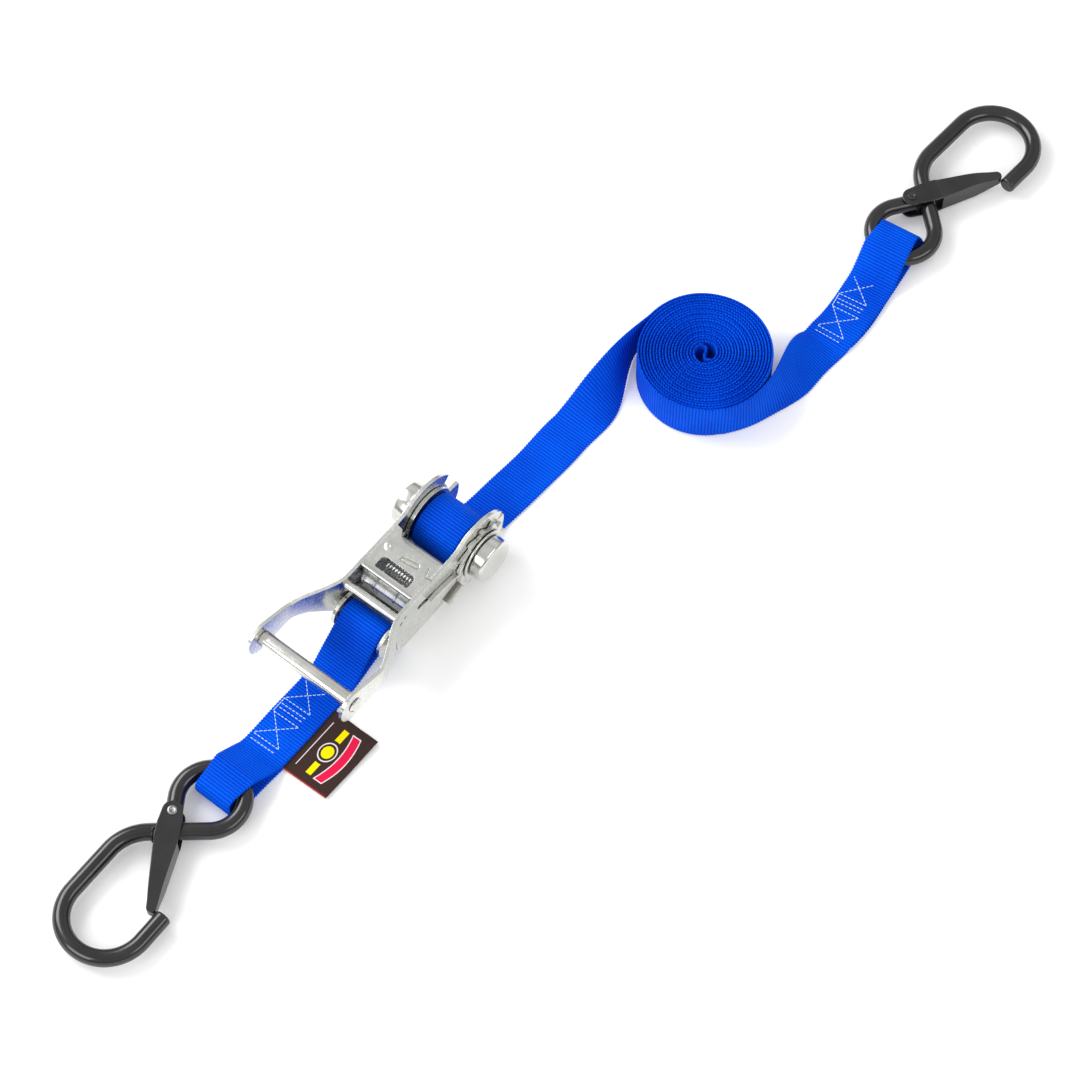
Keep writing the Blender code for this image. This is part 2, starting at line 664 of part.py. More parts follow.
def run_from_coil():
    """Off the coil's -Y side, leaning against it and then flat on the floor, up to the hook's swing axis."""
    cx, cy = COIL_CENTRE
    flat_low = cy - COIL_RADIUS - HALF_WEB
    edges = []
    steps = 24
    for i in range(1, steps + 1):
        x = -22.0 + 60.0 * i / steps
        circle = cy - math.sqrt(max(COIL_RADIUS**2 - x * x, 0.0))
        low = circle + (flat_low - circle) * smooth(x, -22.0, 22.0)
        flat = smooth(x, 18.0, 34.0)
        high = min(circle * (1 - flat) + (flat_low + WEB_WIDTH) * flat, flat_low + WEB_WIDTH)
        edges.append(lifted(low, high, cx + x))
    return edges


def build_long_strap(foot):
    cx, cy = COIL_CENTRE
    up = Vector((0, 0, WEB_WIDTH))
    edges = run_to_coil()
    thickness = [WEB_THICK] * len(edges)
    line = coil_line()
    leave = next(i for i in reversed(range(len(line))) if line[i][0] < -22.0 and line[i][1] < 0)
    for x, y in line[: leave + 1]:
        low = Vector((cx + x, cy + y, 0))
        edges.append((low, low + up))
        thickness.append(WEB_THICK)
    away = run_from_coil()
    edges += away
    thickness += [WEB_THICK] * len(away)

    eye_x, eye_y = HOOK_B_EYE
    slope = math.tan(STRAP_B_TURN)
    end_x = eye_x - (SWING_REACH + SWING_GAP) * math.cos(STRAP_B_TURN)
    double_thick = LAYER_STEP + WEB_THICK
    stations = [(214.0, WEB_THICK), (DOUBLE_START - 2.0, WEB_THICK), (DOUBLE_START, double_thick)]
    stations += [(x, double_thick) for x in (236.0, 246.0, 256.0, end_x)]
    for x, thick in stations:
        share = smooth(x, cx + 38.0, 256.0)
        y = (1 - share) * (cy - COIL_RADIUS) + share * (eye_y + slope * (x - eye_x))
        heading = STRAP_B_TURN * share
        middle = Vector((x, y, thick / 2))
        across = Vector((-math.sin(heading), math.cos(heading), 0)) * HALF_WEB
        edges.append((middle - across, middle + across))
        thickness.append(thick)
    add("long_strap", ribbon(edges, thickness), BLUE, foot)


def main():
    clear_scene()
    foot = empty("spindle_foot", (SPINDLE_X, 0, 0))
    ratchet = empty("ratchet_middle", (0, 0, SPINDLE_Z), foot)
    handle = empty("handle_axis", (0, 0, 0), ratchet)
    spindle = empty("spindle_axis", (0, 0, 0), ratchet)
    build_base_frame(ratchet)
    build_anchor(ratchet)
    build_lock_pawl(ratchet)
    build_handle(handle)
    build_grip(handle)
    build_drive_pawl(handle)
    build_spindle(spindle)

    anchor = empty("anchor_axis", (BOLT_X, 0, BOLT_Z), ratchet)
    build_short_strap(anchor)
    build_tag(anchor)
    swing_a = empty("hook_a_swing_axis", (SWING_A, 0, 0), foot)
    build_strap_eye("short_strap_eye", swing_a, -DRIFT_A)
    hook_a_frame = empty("hook_a_rivet_axis", (*HOOK_A, HOOK_Z), foot, (0, 0, HOOK_A_TURN))
    build_hook("a", hook_a_frame)

    build_long_strap(foot)
    eye = Vector((*HOOK_B_EYE, 0))
    strap_way = Vector((math.cos(STRAP_B_TURN), math.sin(STRAP_B_TURN), 0))
    swing_b = empty("hook_b_swing_axis", eye - strap_way * SWING_REACH, foot, (0, 0, STRAP_B_TURN + math.pi))
    build_strap_eye("long_strap_eye", swing_b, DRIFT_B)
    along = Vector((math.cos(HOOK_B_TURN), math.sin(HOOK_B_TURN), 0))
    aside = Vector((along.y, -along.x, 0))
    rivet = eye - along * EYE_CENTRE[0] - aside * EYE_CENTRE[1]
    hook_b_frame = empty("hook_b_rivet_axis", (rivet.x, rivet.y, HOOK_Z), foot, (math.pi, 0, HOOK_B_TURN))
    build_hook("b", hook_b_frame)


main()
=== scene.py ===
"""Looks of the ratchet tie down: webbing, coil, stitching, hooks, label and the ratchet's stamped steel.

Lengths are in millimetres, in the part's frame, and MM turns them into metres. The floor, the lamps and
the camera's distance are in metres.
"""

import json
import math

import bmesh
import bpy
import numpy as np
from mathutils import Matrix, Vector


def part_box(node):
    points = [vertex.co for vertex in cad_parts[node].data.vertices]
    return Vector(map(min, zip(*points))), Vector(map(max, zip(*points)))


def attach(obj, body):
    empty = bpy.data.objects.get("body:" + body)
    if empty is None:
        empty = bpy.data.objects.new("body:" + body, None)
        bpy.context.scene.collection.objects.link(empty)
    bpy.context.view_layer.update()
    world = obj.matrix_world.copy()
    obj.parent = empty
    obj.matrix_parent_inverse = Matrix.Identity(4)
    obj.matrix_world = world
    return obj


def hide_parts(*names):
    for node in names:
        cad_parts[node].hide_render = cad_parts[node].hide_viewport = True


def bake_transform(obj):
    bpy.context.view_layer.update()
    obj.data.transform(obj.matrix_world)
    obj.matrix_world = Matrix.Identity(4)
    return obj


MM = 0.001

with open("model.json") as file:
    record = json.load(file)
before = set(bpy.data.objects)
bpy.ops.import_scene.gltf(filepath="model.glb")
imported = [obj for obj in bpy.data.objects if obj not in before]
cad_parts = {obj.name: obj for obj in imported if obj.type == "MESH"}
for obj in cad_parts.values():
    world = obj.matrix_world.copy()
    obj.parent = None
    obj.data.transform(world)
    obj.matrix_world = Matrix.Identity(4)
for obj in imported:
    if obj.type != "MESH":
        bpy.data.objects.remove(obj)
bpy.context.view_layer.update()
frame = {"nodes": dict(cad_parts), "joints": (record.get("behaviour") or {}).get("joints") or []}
JOINTS = {joint["name"]: joint for joint in frame["joints"]}


def joint_place(name):
    return Vector(JOINTS[name]["pos_m"]) / MM


SPINDLE = joint_place("handle_pivot")
BOLT = joint_place("short_strap_swing")
SWING_A = joint_place("hook_a_swing")
SWING_B = joint_place("hook_b_swing")
RIVET_A = joint_place("gate_a_pivot")
RIVET_B = joint_place("gate_b_pivot")

# Webbing. LAYER_Z is the middle of a strap that lies flat on the floor, and EDGE_Z the low edge of one
# that stands on it.
WEB_WIDTH = 25.4
HALF_WEB = WEB_WIDTH / 2
WEB_THICK = 1.24
HALF_FOLD = 11.0
LAYER_STEP = 1.6
LAYER_Z = 0.65
EDGE_Z = 0.46
RIB_PITCH = 1.7
RIB_HEIGHT = 0.13
RIB_SCALLOP = 0.22
STATIONS_PER_RIB = 5
YARN_PITCH = 0.85

# Coil and runs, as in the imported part
COIL_CENTRE = (SPINDLE.x + 164.3, -37.6)
COIL_RADIUS = 36.3
COIL_TURNS = 9.5
RUN_SIDE = -3.5
LEAN_START = 92.0
COIL_LEAVE = -22.0
COIL_EXIT = 56.0
DOUBLE_START = SPINDLE.x + 226.0
STRAP_B_TURN = math.radians(7.0)
SWING_REACH = 34.5
EYE_START = 5.0
BEND_REACH = 5.0
WRAP_GAP = 0.4
DRUM_RADIUS = 15.45
CAD_DRUM_RADIUS = 15.6
DRUM_GAP = 0.3

# Sewing, as distances along the strap
BOX_LENGTH = 15.2
SECOND_BOX = 24.0
SEWN_LENGTH = 42.2
HALF_SEAM = 8.0

# Ratchet, with places counted from the spindle's axis
GRIP = (-110.0, 15.0)
CROSS_ROD = (-60.0, 12.0)
SLEEVE_RADIUS = 6.2
WEB_TOP = 18.0
PLATE_IN, PLATE_OUT = 16.1, 18.1
FLARE_START, FLARE_END, FLARE = -58.0, -92.0, 12.5
PAWL_TILT = math.radians(9.0)

# Hooks
WIRE_RADIUS = 4.4
HOOK_Z = 7.4
HOOK_BUTT = (2.4, 1.45)
EYE_CENTRE, EYE_RADIUS = (-17.5, 8.8), 16.8
THROAT_CENTRE, THROAT_RADIUS = (32.8, 11.1), 24.0
BOW_CENTRE, BOW_RADIUS = (59.3, 9.0), 22.0
HOOK_TIP = (41.8, 31.0)
HOOK_A_TURN = math.radians(180.85)
HOOK_B_TURN = math.radians(-3.9)
GATE_ANGLE = math.radians(28.5)
GATE_IN, GATE_OUT = 5.2, 6.25
GATE_LENGTH = 52.5
CREASE_START, CREASE_END = 15.2, 16.9
TAPER_START = 34.0


# Shapes -------------------------------------------------------------


def smooth(value, start, end):
    """0 at start, 1 at end, with an S-shaped rise."""
    t = min(max((value - start) / (end - start), 0.0), 1.0)
    return t * t * (3 - 2 * t)


def arc(centre, radius, start, end, steps):
    """Points of an arc from one angle to another, in degrees."""
    angles = (math.radians(start + (end - start) * i / steps) for i in range(steps + 1))
    return [(centre[0] + radius * math.cos(a), centre[1] + radius * math.sin(a)) for a in angles]


def tangent_path(stops, step):
    """A plane line that wraps round circles. A stop is (centre, radius, turn); turn +1 is anticlockwise."""
    headings = []
    for (one, r1, t1), (two, r2, t2) in zip(stops, stops[1:]):
        across, along = two[0] - one[0], two[1] - one[1]
        lean = math.asin((t2 * r2 - t1 * r1) / math.hypot(across, along))
        headings.append(math.atan2(along, across) - lean)
    points = [stops[0][0]]
    for (centre, radius, turn), start, end in zip(stops[1:-1], headings, headings[1:]):
        sweep_angle = (end - start) * turn % math.tau
        steps = max(1, math.ceil(sweep_angle * radius / step))
        for i in range(steps + 1):
            heading = start + turn * sweep_angle * i / steps
            x = centre[0] + turn * radius * math.sin(heading)
            y = centre[1] - turn * radius * math.cos(heading)
            points.append((x, y))
    points.append(stops[-1][0])
    return points


def add_object(name, mesh, finish, body, sharp):
    """Puts a mesh in the scene on its body, shaded smooth apart from edges sharper than the angle given."""
    mesh.shade_smooth()
    mesh.set_sharp_from_angle(angle=math.radians(sharp))
    mesh.materials.append(finish)
    obj = bpy.data.objects.new(name, mesh)
    bpy.context.scene.collection.objects.link(obj)
    if body:
        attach(obj, body)
    return obj


def stands_for(piece, slot, *nodes):
    """Hides the CAD nodes that the piece stands for; slot is not used."""
    if nodes:
        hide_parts(*nodes)


def make_object(name, verts, faces, finish, body=None, sharp=40.0, uvs=None):
    """A mesh object from points in millimetres; uvs holds one pair per vertex, also in millimetres."""
    mesh = bpy.data.meshes.new(name)
    mesh.from_pydata([tuple(v) for v in np.asarray(verts, float) * MM], [], [tuple(f) for f in faces])
    mesh.validate()
    if uvs is not None:
        layer = mesh.uv_layers.new(name="cloth")
        corner = np.zeros(len(mesh.loops), np.int32)
        mesh.loops.foreach_get("vertex_index", corner)
        layer.data.foreach_set("uv", np.asarray(uvs, np.float32)[corner].ravel())
    fix = bmesh.new()
    fix.from_mesh(mesh)
    bmesh.ops.recalc_face_normals(fix, faces=fix.faces)
    fix.to_mesh(mesh)
    fix.free()
    return add_object(name, mesh, finish, body, sharp)


def ring_faces(rings, sides, offset=0):
    """Faces of a closed tube through rings of points, with both ends capped."""
    faces = []
    for i in range(rings - 1):
        for j in range(sides):
            k = (j + 1) % sides
            a, b = offset + i * sides, offset + (i + 1) * sides
            faces.append((a + j, a + k, b + k, b + j))
    faces.append(tuple(offset + j for j in range(sides)))
    faces.append(tuple(offset + (rings - 1) * sides + j for j in reversed(range(sides))))
    return faces


def from_bmesh(name, bm, finish, body=None, sharp=35.0):
    """An object from a bmesh drawn in millimetres in the part's frame."""
    bmesh.ops.recalc_face_normals(bm, faces=bm.faces)
    bmesh.ops.scale(bm, vec=(MM, MM, MM), verts=bm.verts)
    mesh = bpy.data.meshes.new(name)
    bm.to_mesh(mesh)
    bm.free()
    return add_object(name, mesh, finish, body, sharp)


def prism(outline, low, high, axis="Y"):
    """A flat outline, in x and z or in x and y, drawn out along the axis from low to high."""
    bm = bmesh.new()
    if axis == "Y":
        corners = [bm.verts.new((x, low, z)) for x, z in outline]
        way = Vector((0, high - low, 0))
    else:
        corners = [bm.verts.new((x, y, low)) for x, y in outline]
        way = Vector((0, 0, high - low))
    face = bm.faces.new(corners)
    grown = bmesh.ops.extrude_face_region(bm, geom=[face])["geom"]
    moved = [item for item in grown if isinstance(item, bmesh.types.BMVert)]
    bmesh.ops.translate(bm, vec=way, verts=moved)
    return bm


def combine(obj, bm, operation="DIFFERENCE", turn=None):
    """Cuts a helper shape away from an object, or joins it on, for good."""
    helper = from_bmesh("helper", bm, obj.data.materials[0])
    if turn:
        helper.data.transform(Matrix.Scale(MM, 4) @ turn @ Matrix.Scale(1 / MM, 4))
    boolean = obj.modifiers.new("combine", "BOOLEAN")
    boolean.operation = operation
    boolean.object = helper
    bpy.context.view_layer.update()
    shape = bpy.data.meshes.new_from_object(obj.evaluated_get(bpy.context.evaluated_depsgraph_get()))
    obj.modifiers.clear()
    obj.data = shape
    bpy.data.objects.remove(helper)


def round_edges(obj, width, angle, segments):
    rounding = obj.modifiers.new("rounded_edges", "BEVEL")
    rounding.width = width * MM
    rounding.segments = segments
    rounding.limit_method = "ANGLE"
    rounding.angle_limit = math.radians(angle)


def settle(obj, place, bevel, angle=40.0, segments=3):
    """Moves a finished shape, drawn round its own origin, to its place and rounds its edges."""
    obj.data.transform(Matrix.Scale(MM, 4) @ place @ Matrix.Scale(1 / MM, 4))
    bm = bmesh.new()
    bm.from_mesh(obj.data)
    bmesh.ops.recalc_face_normals(bm, faces=bm.faces)
    bm.to_mesh(obj.data)
    bm.free()
    obj.data.shade_smooth()
    obj.data.set_sharp_from_angle(angle=math.radians(35))
    round_edges(obj, bevel, angle, segments)


def box(low, high):
    bm = bmesh.new()
    bmesh.ops.create_cube(bm, size=1.0)
    for vert in bm.verts:
        vert.co = Vector(high[i] if vert.co[i] > 0 else low[i] for i in range(3))
    return bm


def bisect(bm, places):
    """Adds edges across a shape at each x."""
    for x in places:
        geometry = bm.verts[:] + bm.edges[:] + bm.faces[:]
        bmesh.ops.bisect_plane(bm, geom=geometry, plane_co=(x, 0, 0), plane_no=(1, 0, 0), dist=1e-4)


def wire_mesh(points, radius, sides, round_ends=0):
    """Rings of a round wire along points; a round end adds a half ball of that many steps."""
    points = [Vector(p) for p in points]
    before = points[:1] + points[:-1]
    after = points[1:] + points[-1:]
    ways = [(two - one).normalized() for one, two in zip(before, after)]
    side = ways[0].orthogonal().normalized()
    stations = []
    for point, way in zip(points, ways):
        side = (side - way * side.dot(way)).normalized()
        stations.append((point, side, way.cross(side), radius))

    def round_end(station, way):
        point, one, two, _ = station
        angles = [math.pi / 2 * i / (round_ends + 0.3) for i in range(1, round_ends + 1)]
        return [(point + way * radius * math.sin(a), one, two, radius * math.cos(a)) for a in angles]

    first, last = round_end(stations[0], -ways[0]), round_end(stations[-1], ways[-1])
    stations = first[::-1] + stations + last
    rings = []
    for point, one, two, r in stations:
        for j in range(sides):
            a = math.tau * j / sides
            rings.append(tuple(point + (one * math.cos(a) + two * math.sin(a)) * r))
    return rings, ring_faces(len(stations), sides)


# Finishes -----------------------------------------------------------


class Finish:
    """A node material: small helpers that add and link nodes."""

    def __init__(self, name):
        self.material = bpy.data.materials.new(name)
        self.material.use_nodes = True
        self.tree = self.material.node_tree
        self.tree.nodes.clear()
        self.shader = self.add("ShaderNodeBsdfPrincipled")
        out = self.add("ShaderNodeOutputMaterial")
        self.tree.links.new(self.shader.outputs["BSDF"], out.inputs["Surface"])

    def add(self, kind, **values):
        node = self.tree.nodes.new(kind)
        for key, value in values.items():
            setattr(node, key, value)
        return node

    def put(self, node, socket, value):
        """Sets a socket to a value, or links it to another node's output."""
        target = node.inputs[socket]
        if isinstance(value, bpy.types.NodeSocket):
            self.tree.links.new(value, target)
        elif isinstance(value, tuple) and len(value) == 3 and target.type == "RGBA":
            target.default_value = (*value, 1.0)
        else:
            target.default_value = value

    def math(self, operation, *values, clamp=False):
        node = self.add("ShaderNodeMath", operation=operation, use_clamp=clamp)
        for i, value in enumerate(values):
            self.put(node, i, value)
        return node.outputs[0]

    def noise(self, scale, detail=2.0, rough=0.5, vector=None):
        node = self.add("ShaderNodeTexNoise")
        self.put(node, "Scale", scale)
        self.put(node, "Detail", detail)
        self.put(node, "Roughness", rough)
        self.put(node, "Vector", vector or self.place())
        return node.outputs["Fac"]

    def place(self):
        if not hasattr(self, "_place"):
            self._place = self.add("ShaderNodeTexCoord").outputs["Object"]
        return self._place

    def cloth_place(self):
        """The two cloth coordinates of a piece, in millimetres."""
        split = self.add("ShaderNodeSeparateXYZ")
        self.put(split, "Vector", self.add("ShaderNodeTexCoord").outputs["UV"])
        return split.outputs["X"], split.outputs["Y"]

    def ramp(self, fac, *stops):
        node = self.add("ShaderNodeValToRGB")
        self.put(node, "Fac", fac)
        elements = node.color_ramp.elements
        while len(elements) < len(stops):
            elements.new(0.5)
        for element, (position, colour) in zip(elements, stops):
            element.position = position
            element.color = (*colour, 1.0)
        return node.outputs["Color"]

    def mix(self, fac, one, two, blend="MIX"):
        node = self.add("ShaderNodeMix", data_type="RGBA", blend_type=blend)
        self.put(node, 0, fac)
        self.put(node, 6, one)
        self.put(node, 7, two)
        return node.outputs[2]

    def between(self, value, low, high, new_low, new_high):
        node = self.add("ShaderNodeMapRange")
        self.put(node, "From Min", low)
        self.put(node, "From Max", high)
        self.put(node, "To Min", new_low)
        self.put(node, "To Max", new_high)
        self.put(node, "Value", value)
        return node.outputs["Result"]

    def bump(self, height, strength, distance, edge=0.0):
        """Bump, on normals that also round off sharp edges by edge metres."""
        node = self.add("ShaderNodeBump")
        self.put(node, "Height", height)
        self.put(node, "Strength", strength)
        self.put(node, "Distance", distance)
        if edge:
            rounding = self.add("ShaderNodeBevel", samples=6)
            self.put(rounding, "Radius", edge)
            self.put(node, "Normal", rounding.outputs["Normal"])
        self.put(self.shader, "Normal", node.outputs["Normal"])

    def times(self, one, two):
        return self.math("MULTIPLY", one, two)

    def total(self, first, second):
        """Adds two values, each given with its share."""
        return self.math("ADD", self.times(*first), self.times(*second))

    def set(self, **values):
        for name, value in values.items():
            self.put(self.shader, name.replace("_", " "), value)


def webbing_finish():
    """Woven polyester: painted light and shade on the ribs (crests lighter, grooves darker), yarns across
    the ribs, and slow colour changes.
    """
    f = Finish("blue_webbing_cloth")
    across, along = f.cloth_place()
    rib_turn = f.times(along, math.tau / RIB_PITCH)
    # Painted light and shade: 1 on the rib crests, painted lighter, and 0 in the grooves, painted darker.
    crest_light_groove_shade = f.math("MULTIPLY_ADD", f.math("COSINE", rib_turn), 0.5, 0.5)
    yarn_turn = f.times(across, math.tau / YARN_PITCH)
    stagger = f.times(f.math("SINE", f.times(rib_turn, 0.5)), 1.6)
    yarn = f.math("MULTIPLY_ADD", f.math("COSINE", f.math("ADD", yarn_turn, stagger)), 0.5, 0.5)
    # weave mixes the painted rib light and shade with the yarn pattern.
    weave = f.total((crest_light_groove_shade, 0.62), (yarn, 0.38))
    slow = f.noise(28.0, 2.0)
    fibre = f.noise(900.0, 3.0, 0.6)
    tone = f.math("ADD", weave, f.between(slow, 0.3, 0.7, -0.16, 0.16))
    tone = f.math("ADD", tone, f.between(fibre, 0.3, 0.7, -0.1, 0.1))
    # The ramp paints shade into the grooves and a highlight onto the crests, on top of the yarn pattern and
    # the random tone.
    colour = f.ramp(
        tone,
        (0.0, (0.0, 0.022, 0.34)),
        (0.35, (0.0, 0.052, 0.56)),
        (0.75, (0.0, 0.088, 0.74)),
        (1.0, (0.0, 0.13, 0.86)),
    )
    f.set(Base_Color=colour, Roughness=f.between(fibre, 0.2, 0.8, 0.62, 0.82))
    f.set(Sheen_Weight=0.04, Sheen_Roughness=0.5, Sheen_Tint=(0.1, 0.4, 1.0), Specular_IOR_Level=0.04)
    f.bump(f.total((yarn, 0.6), (fibre, 0.4)), 0.5, 0.00016)
    return f.material


def thread_finish():
    """Pale twisted thread."""
    f = Finish("stitch_thread")
    twist = f.noise(1500.0, 2.0)
    colour = f.ramp(twist, (0.3, (0.36, 0.62, 0.9)), (0.7, (0.72, 0.88, 1.0)))
    f.set(Base_Color=colour, Roughness=0.55, Sheen_Weight=0.15)
    f.bump(twist, 0.4, 0.00006)
    return f.material


def steel_finish(name, dark, light, rough_low, rough_high, tint_scale=38.0, edge=0.0003):
    """Plated steel: cloudy plating, fine rolling marks along X and rounded edges."""
    f = Finish(name)
    cloud = f.noise(tint_scale, 4.0, 0.55)
    stretch = f.add("ShaderNodeMapping")
    f.put(stretch, "Vector", f.place())
    stretch.inputs["Scale"].default_value = (0.12, 1.0, 1.0)
    grain = f.noise(1400.0, 2.0, 0.5, stretch.outputs["Vector"])
    speck = f.noise(420.0, 3.0, 0.6)
    base = f.ramp(cloud, (0.3, dark), (0.7, light))
    rough = f.between(f.total((speck, 0.5), (cloud, 0.5)), 0.35, 0.65, rough_low, rough_high)
    f.set(Base_Color=base, Metallic=1.0, Roughness=rough)
    f.bump(f.total((grain, 0.35), (speck, 0.65)), 0.06, 0.0001, edge)
    return f.material


def coating_finish():
    """Near-black satin coating with a slight orange peel and rubbed, lighter spots."""
    f = Finish("dark_satin_coating")
    cloud = f.noise(60.0, 3.0)
    peel = f.noise(800.0, 2.0, 0.5)
    colour = f.ramp(cloud, (0.3, (0.006, 0.005, 0.006)), (0.72, (0.015, 0.013, 0.015)))
    f.set(Base_Color=colour, Roughness=f.between(cloud, 0.3, 0.7, 0.15, 0.22), Specular_IOR_Level=0.62)
    f.bump(peel, 0.10, 0.0001, 0.0004)
    return f.material


def label_finish(width, height):
    """Printed cloth: dark ground, a stripe broken by a plain disc, one plain band, and a red cut edge."""
    f = Finish("label_cloth")
    along, out = f.cloth_place()
    thread_pitch = 0.5
    thread = f.math("SINE", f.times(along, math.tau / thread_pitch))
    weft = f.math("SINE", f.times(out, math.tau / thread_pitch))
    weave = f.times(thread, weft)
    ground = f.mix(f.between(weave, -1, 1, 0, 1), (0.030, 0.016, 0.014), (0.056, 0.031, 0.027))

    def from_line(value, centre):
        return f.math("ABSOLUTE", f.math("SUBTRACT", value, centre))

    def squared(value, centre, size):
        return f.math("POWER", f.math("DIVIDE", f.math("SUBTRACT", value, centre), size), 2.0)

    def patch(value, centre, half, share):
        """1 inside a bar round a line across the label, for a share of the label's width on each side."""
        bar = f.math("LESS_THAN", from_line(value, centre), half)
        return f.times(bar, f.math("LESS_THAN", from_line(along, middle), width * share))

    middle, disc_line = width * 0.5, height * 0.45
    stripe = patch(out, disc_line, 1.6, 0.37)
    disc = f.math("SQRT", f.math("ADD", squared(along, middle, 5.2), squared(out, disc_line, 4.2)))
    gap = f.math("LESS_THAN", disc, 1.45)
    ring = f.times(f.math("LESS_THAN", disc, 1.12), f.math("GREATER_THAN", disc, 0.98))
    core = f.math("LESS_THAN", disc, 0.72)
    bow = f.times(squared(along, middle, 10.0), 1.1)
    band_line = f.math("SUBTRACT", height * 0.76, bow)
    outer = patch(out, band_line, 2.7, 0.385)
    inner = patch(out, band_line, 2.15, 0.37)
    thin = patch(out, height * 0.16, 0.22, 0.36)
    yellow, pale, red = (0.86, 0.72, 0.0), (0.74, 0.68, 0.68), (0.70, 0.010, 0.062)
    colour = f.mix(stripe, ground, yellow)
    colour = f.mix(gap, colour, ground)
    colour = f.mix(ring, colour, pale)
    colour = f.mix(core, colour, yellow)
    colour = f.mix(outer, colour, pale)
    colour = f.mix(inner, colour, red)
    colour = f.mix(thin, colour, pale)
    edge = f.math("GREATER_THAN", along, width - 0.5)
    colour = f.mix(edge, colour, (0.45, 0.03, 0.02))
    f.set(Base_Color=colour, Roughness=0.7, Specular_IOR_Level=0.08)
    f.bump(weave, 0.25, 0.00012)
    return f.material


WEBBING = webbing_finish()
THREAD = thread_finish()
ZINC = steel_finish("zinc_plate", (0.60, 0.62, 0.59), (0.78, 0.77, 0.73), 0.20, 0.34)
BRIGHT = steel_finish("bright_plate", (0.58, 0.58, 0.55), (0.76, 0.75, 0.72), 0.14, 0.24, 60.0, 0.0004)
COATING = coating_finish()
RIVET = steel_finish("rivet_steel", (0.22, 0.21, 0.21), (0.40, 0.39, 0.38), 0.22, 0.34, 200.0, 0.0003)


# Webbing ------------------------------------------------------------

# The strap's cross section: shares of the half width, round the upper side and back along the lower one,
# and the share of the half thickness at each.
SHARES = (-0.975, -0.9, -0.45, 0.45, 0.9, 0.975)
PROFILE = [(-1.0, 0)] + [(u, 1) for u in SHARES] + [(1.0, 0)] + [(u, -1) for u in reversed(SHARES)]
PROFILE_HEIGHT = {1.0: 0.0, 0.975: 0.72, 0.9: 1.0, 0.45: 0.98}


def resample(low, high, step):
    """Both edge lines again, with stations an even step apart, and each station's length along the strap."""
    middle = (low + high) / 2
    lengths = np.concatenate([[0.0], np.cumsum(np.linalg.norm(np.diff(middle, axis=0), axis=1))])
    at = np.arange(0.0, lengths[-1], step)

    def even(edge):
        return np.stack([np.interp(at, lengths, edge[:, i]) for i in range(3)], axis=1)

    return even(low), even(high), at


def webbing(name, edges, phase=0.0, ripple=0.06):
    """A ribbed strap between two edge lines: each rib is a real ridge that also scallops both edges."""
    low = np.array([tuple(pair[0]) for pair in edges], float)
    high = np.array([tuple(pair[1]) for pair in edges], float)
    low, high, along = resample(low, high, RIB_PITCH / STATIONS_PER_RIB)
    middle = (low + high) / 2
    across = high - low
    width = np.linalg.norm(across, axis=1, keepdims=True)
    across /= width
    way = np.gradient(middle, axis=0)
    way /= np.linalg.norm(way, axis=1, keepdims=True)
    normal = np.cross(way, across)
    normal /= np.linalg.norm(normal, axis=1, keepdims=True)
    turn = math.tau * (along + phase) / RIB_PITCH
    wave = np.cos(turn)[:, None]
    uneven = (np.sin(along * 0.071 + 1.3) + np.sin(along * 0.173 + phase))[:, None] * ripple
    count = len(along)
    verts = np.zeros((count, len(PROFILE), 3))
    uvs = np.zeros((count, len(PROFILE), 2))
    for j, (u, side) in enumerate(PROFILE):
        height = PROFILE_HEIGHT[abs(u)] * WEB_THICK / 2
        rib = side * RIB_HEIGHT * (0.5 * side * wave - 0.5)
        half = width / 2 + RIB_SCALLOP * wave * (abs(u) > 0.95) + uneven * 2.0
        verts[:, j] = middle + across * u * half + normal * (side * height + rib)
        uvs[:, j, 0] = u * width[:, 0] / 2
        uvs[:, j, 1] = along + phase + (0 if side >= 0 else RIB_PITCH / 2)
    faces = ring_faces(count, len(PROFILE))
    return make_object(name, verts.reshape(-1, 3), faces, WEBBING, None, 70.0, uvs.reshape(-1, 2))


def lifted(low, high, x):
    """The edge points of a leaning strap: low edge near the floor, high edge raised to keep the width."""
    lean = min(max((high - low) / WEB_WIDTH, -1.0), 1.0)
    rise = WEB_WIDTH * math.sqrt(1 - lean * lean)
    rest = LAYER_Z * abs(lean) + EDGE_Z * (1 - abs(lean))
    return Vector((x, low, rest)), Vector((x, high, rest + rise))


def run_to_coil():
    """From under the drum flat along the floor, then leaning over until it stands on edge at the coil."""
    cx, cy = COIL_CENTRE
    edges = []
    start_z = SPINDLE.z - CAD_DRUM_RADIUS - DRUM_GAP - LAYER_Z
    first, steps = 1.0, 46
    for i in range(steps):
        x = first + (LEAN_START - first) * i / steps
        side = RUN_SIDE * smooth(x, 10.0, 80.0)
        z = start_z + (LAYER_Z - start_z) * smooth(x, -4.0, 34.0)
        sag = abs(0.25 * math.sin(x * 0.09))
        low = Vector((SPINDLE.x + x, side - HALF_WEB, z + sag))
        high = Vector((SPINDLE.x + x, side + HALF_WEB, z + sag * 0.4))
        edges.append((low, high))
    flat_high = RUN_SIDE + HALF_WEB
    start, steps = SPINDLE.x + LEAN_START, 90
    for i in range(steps):
        share = i / steps
        x = start + (cx - start) * share
        upright = math.pi / 2 * smooth(share, 0.0, 0.95)
        eased = share * share * (2 - share)
        high = flat_high + (cy + COIL_RADIUS - flat_high) * (0.5 * share + 0.5 * eased)
        edges.append(lifted(high - WEB_WIDTH * math.cos(upright) - 0.01, high, x))
    return edges


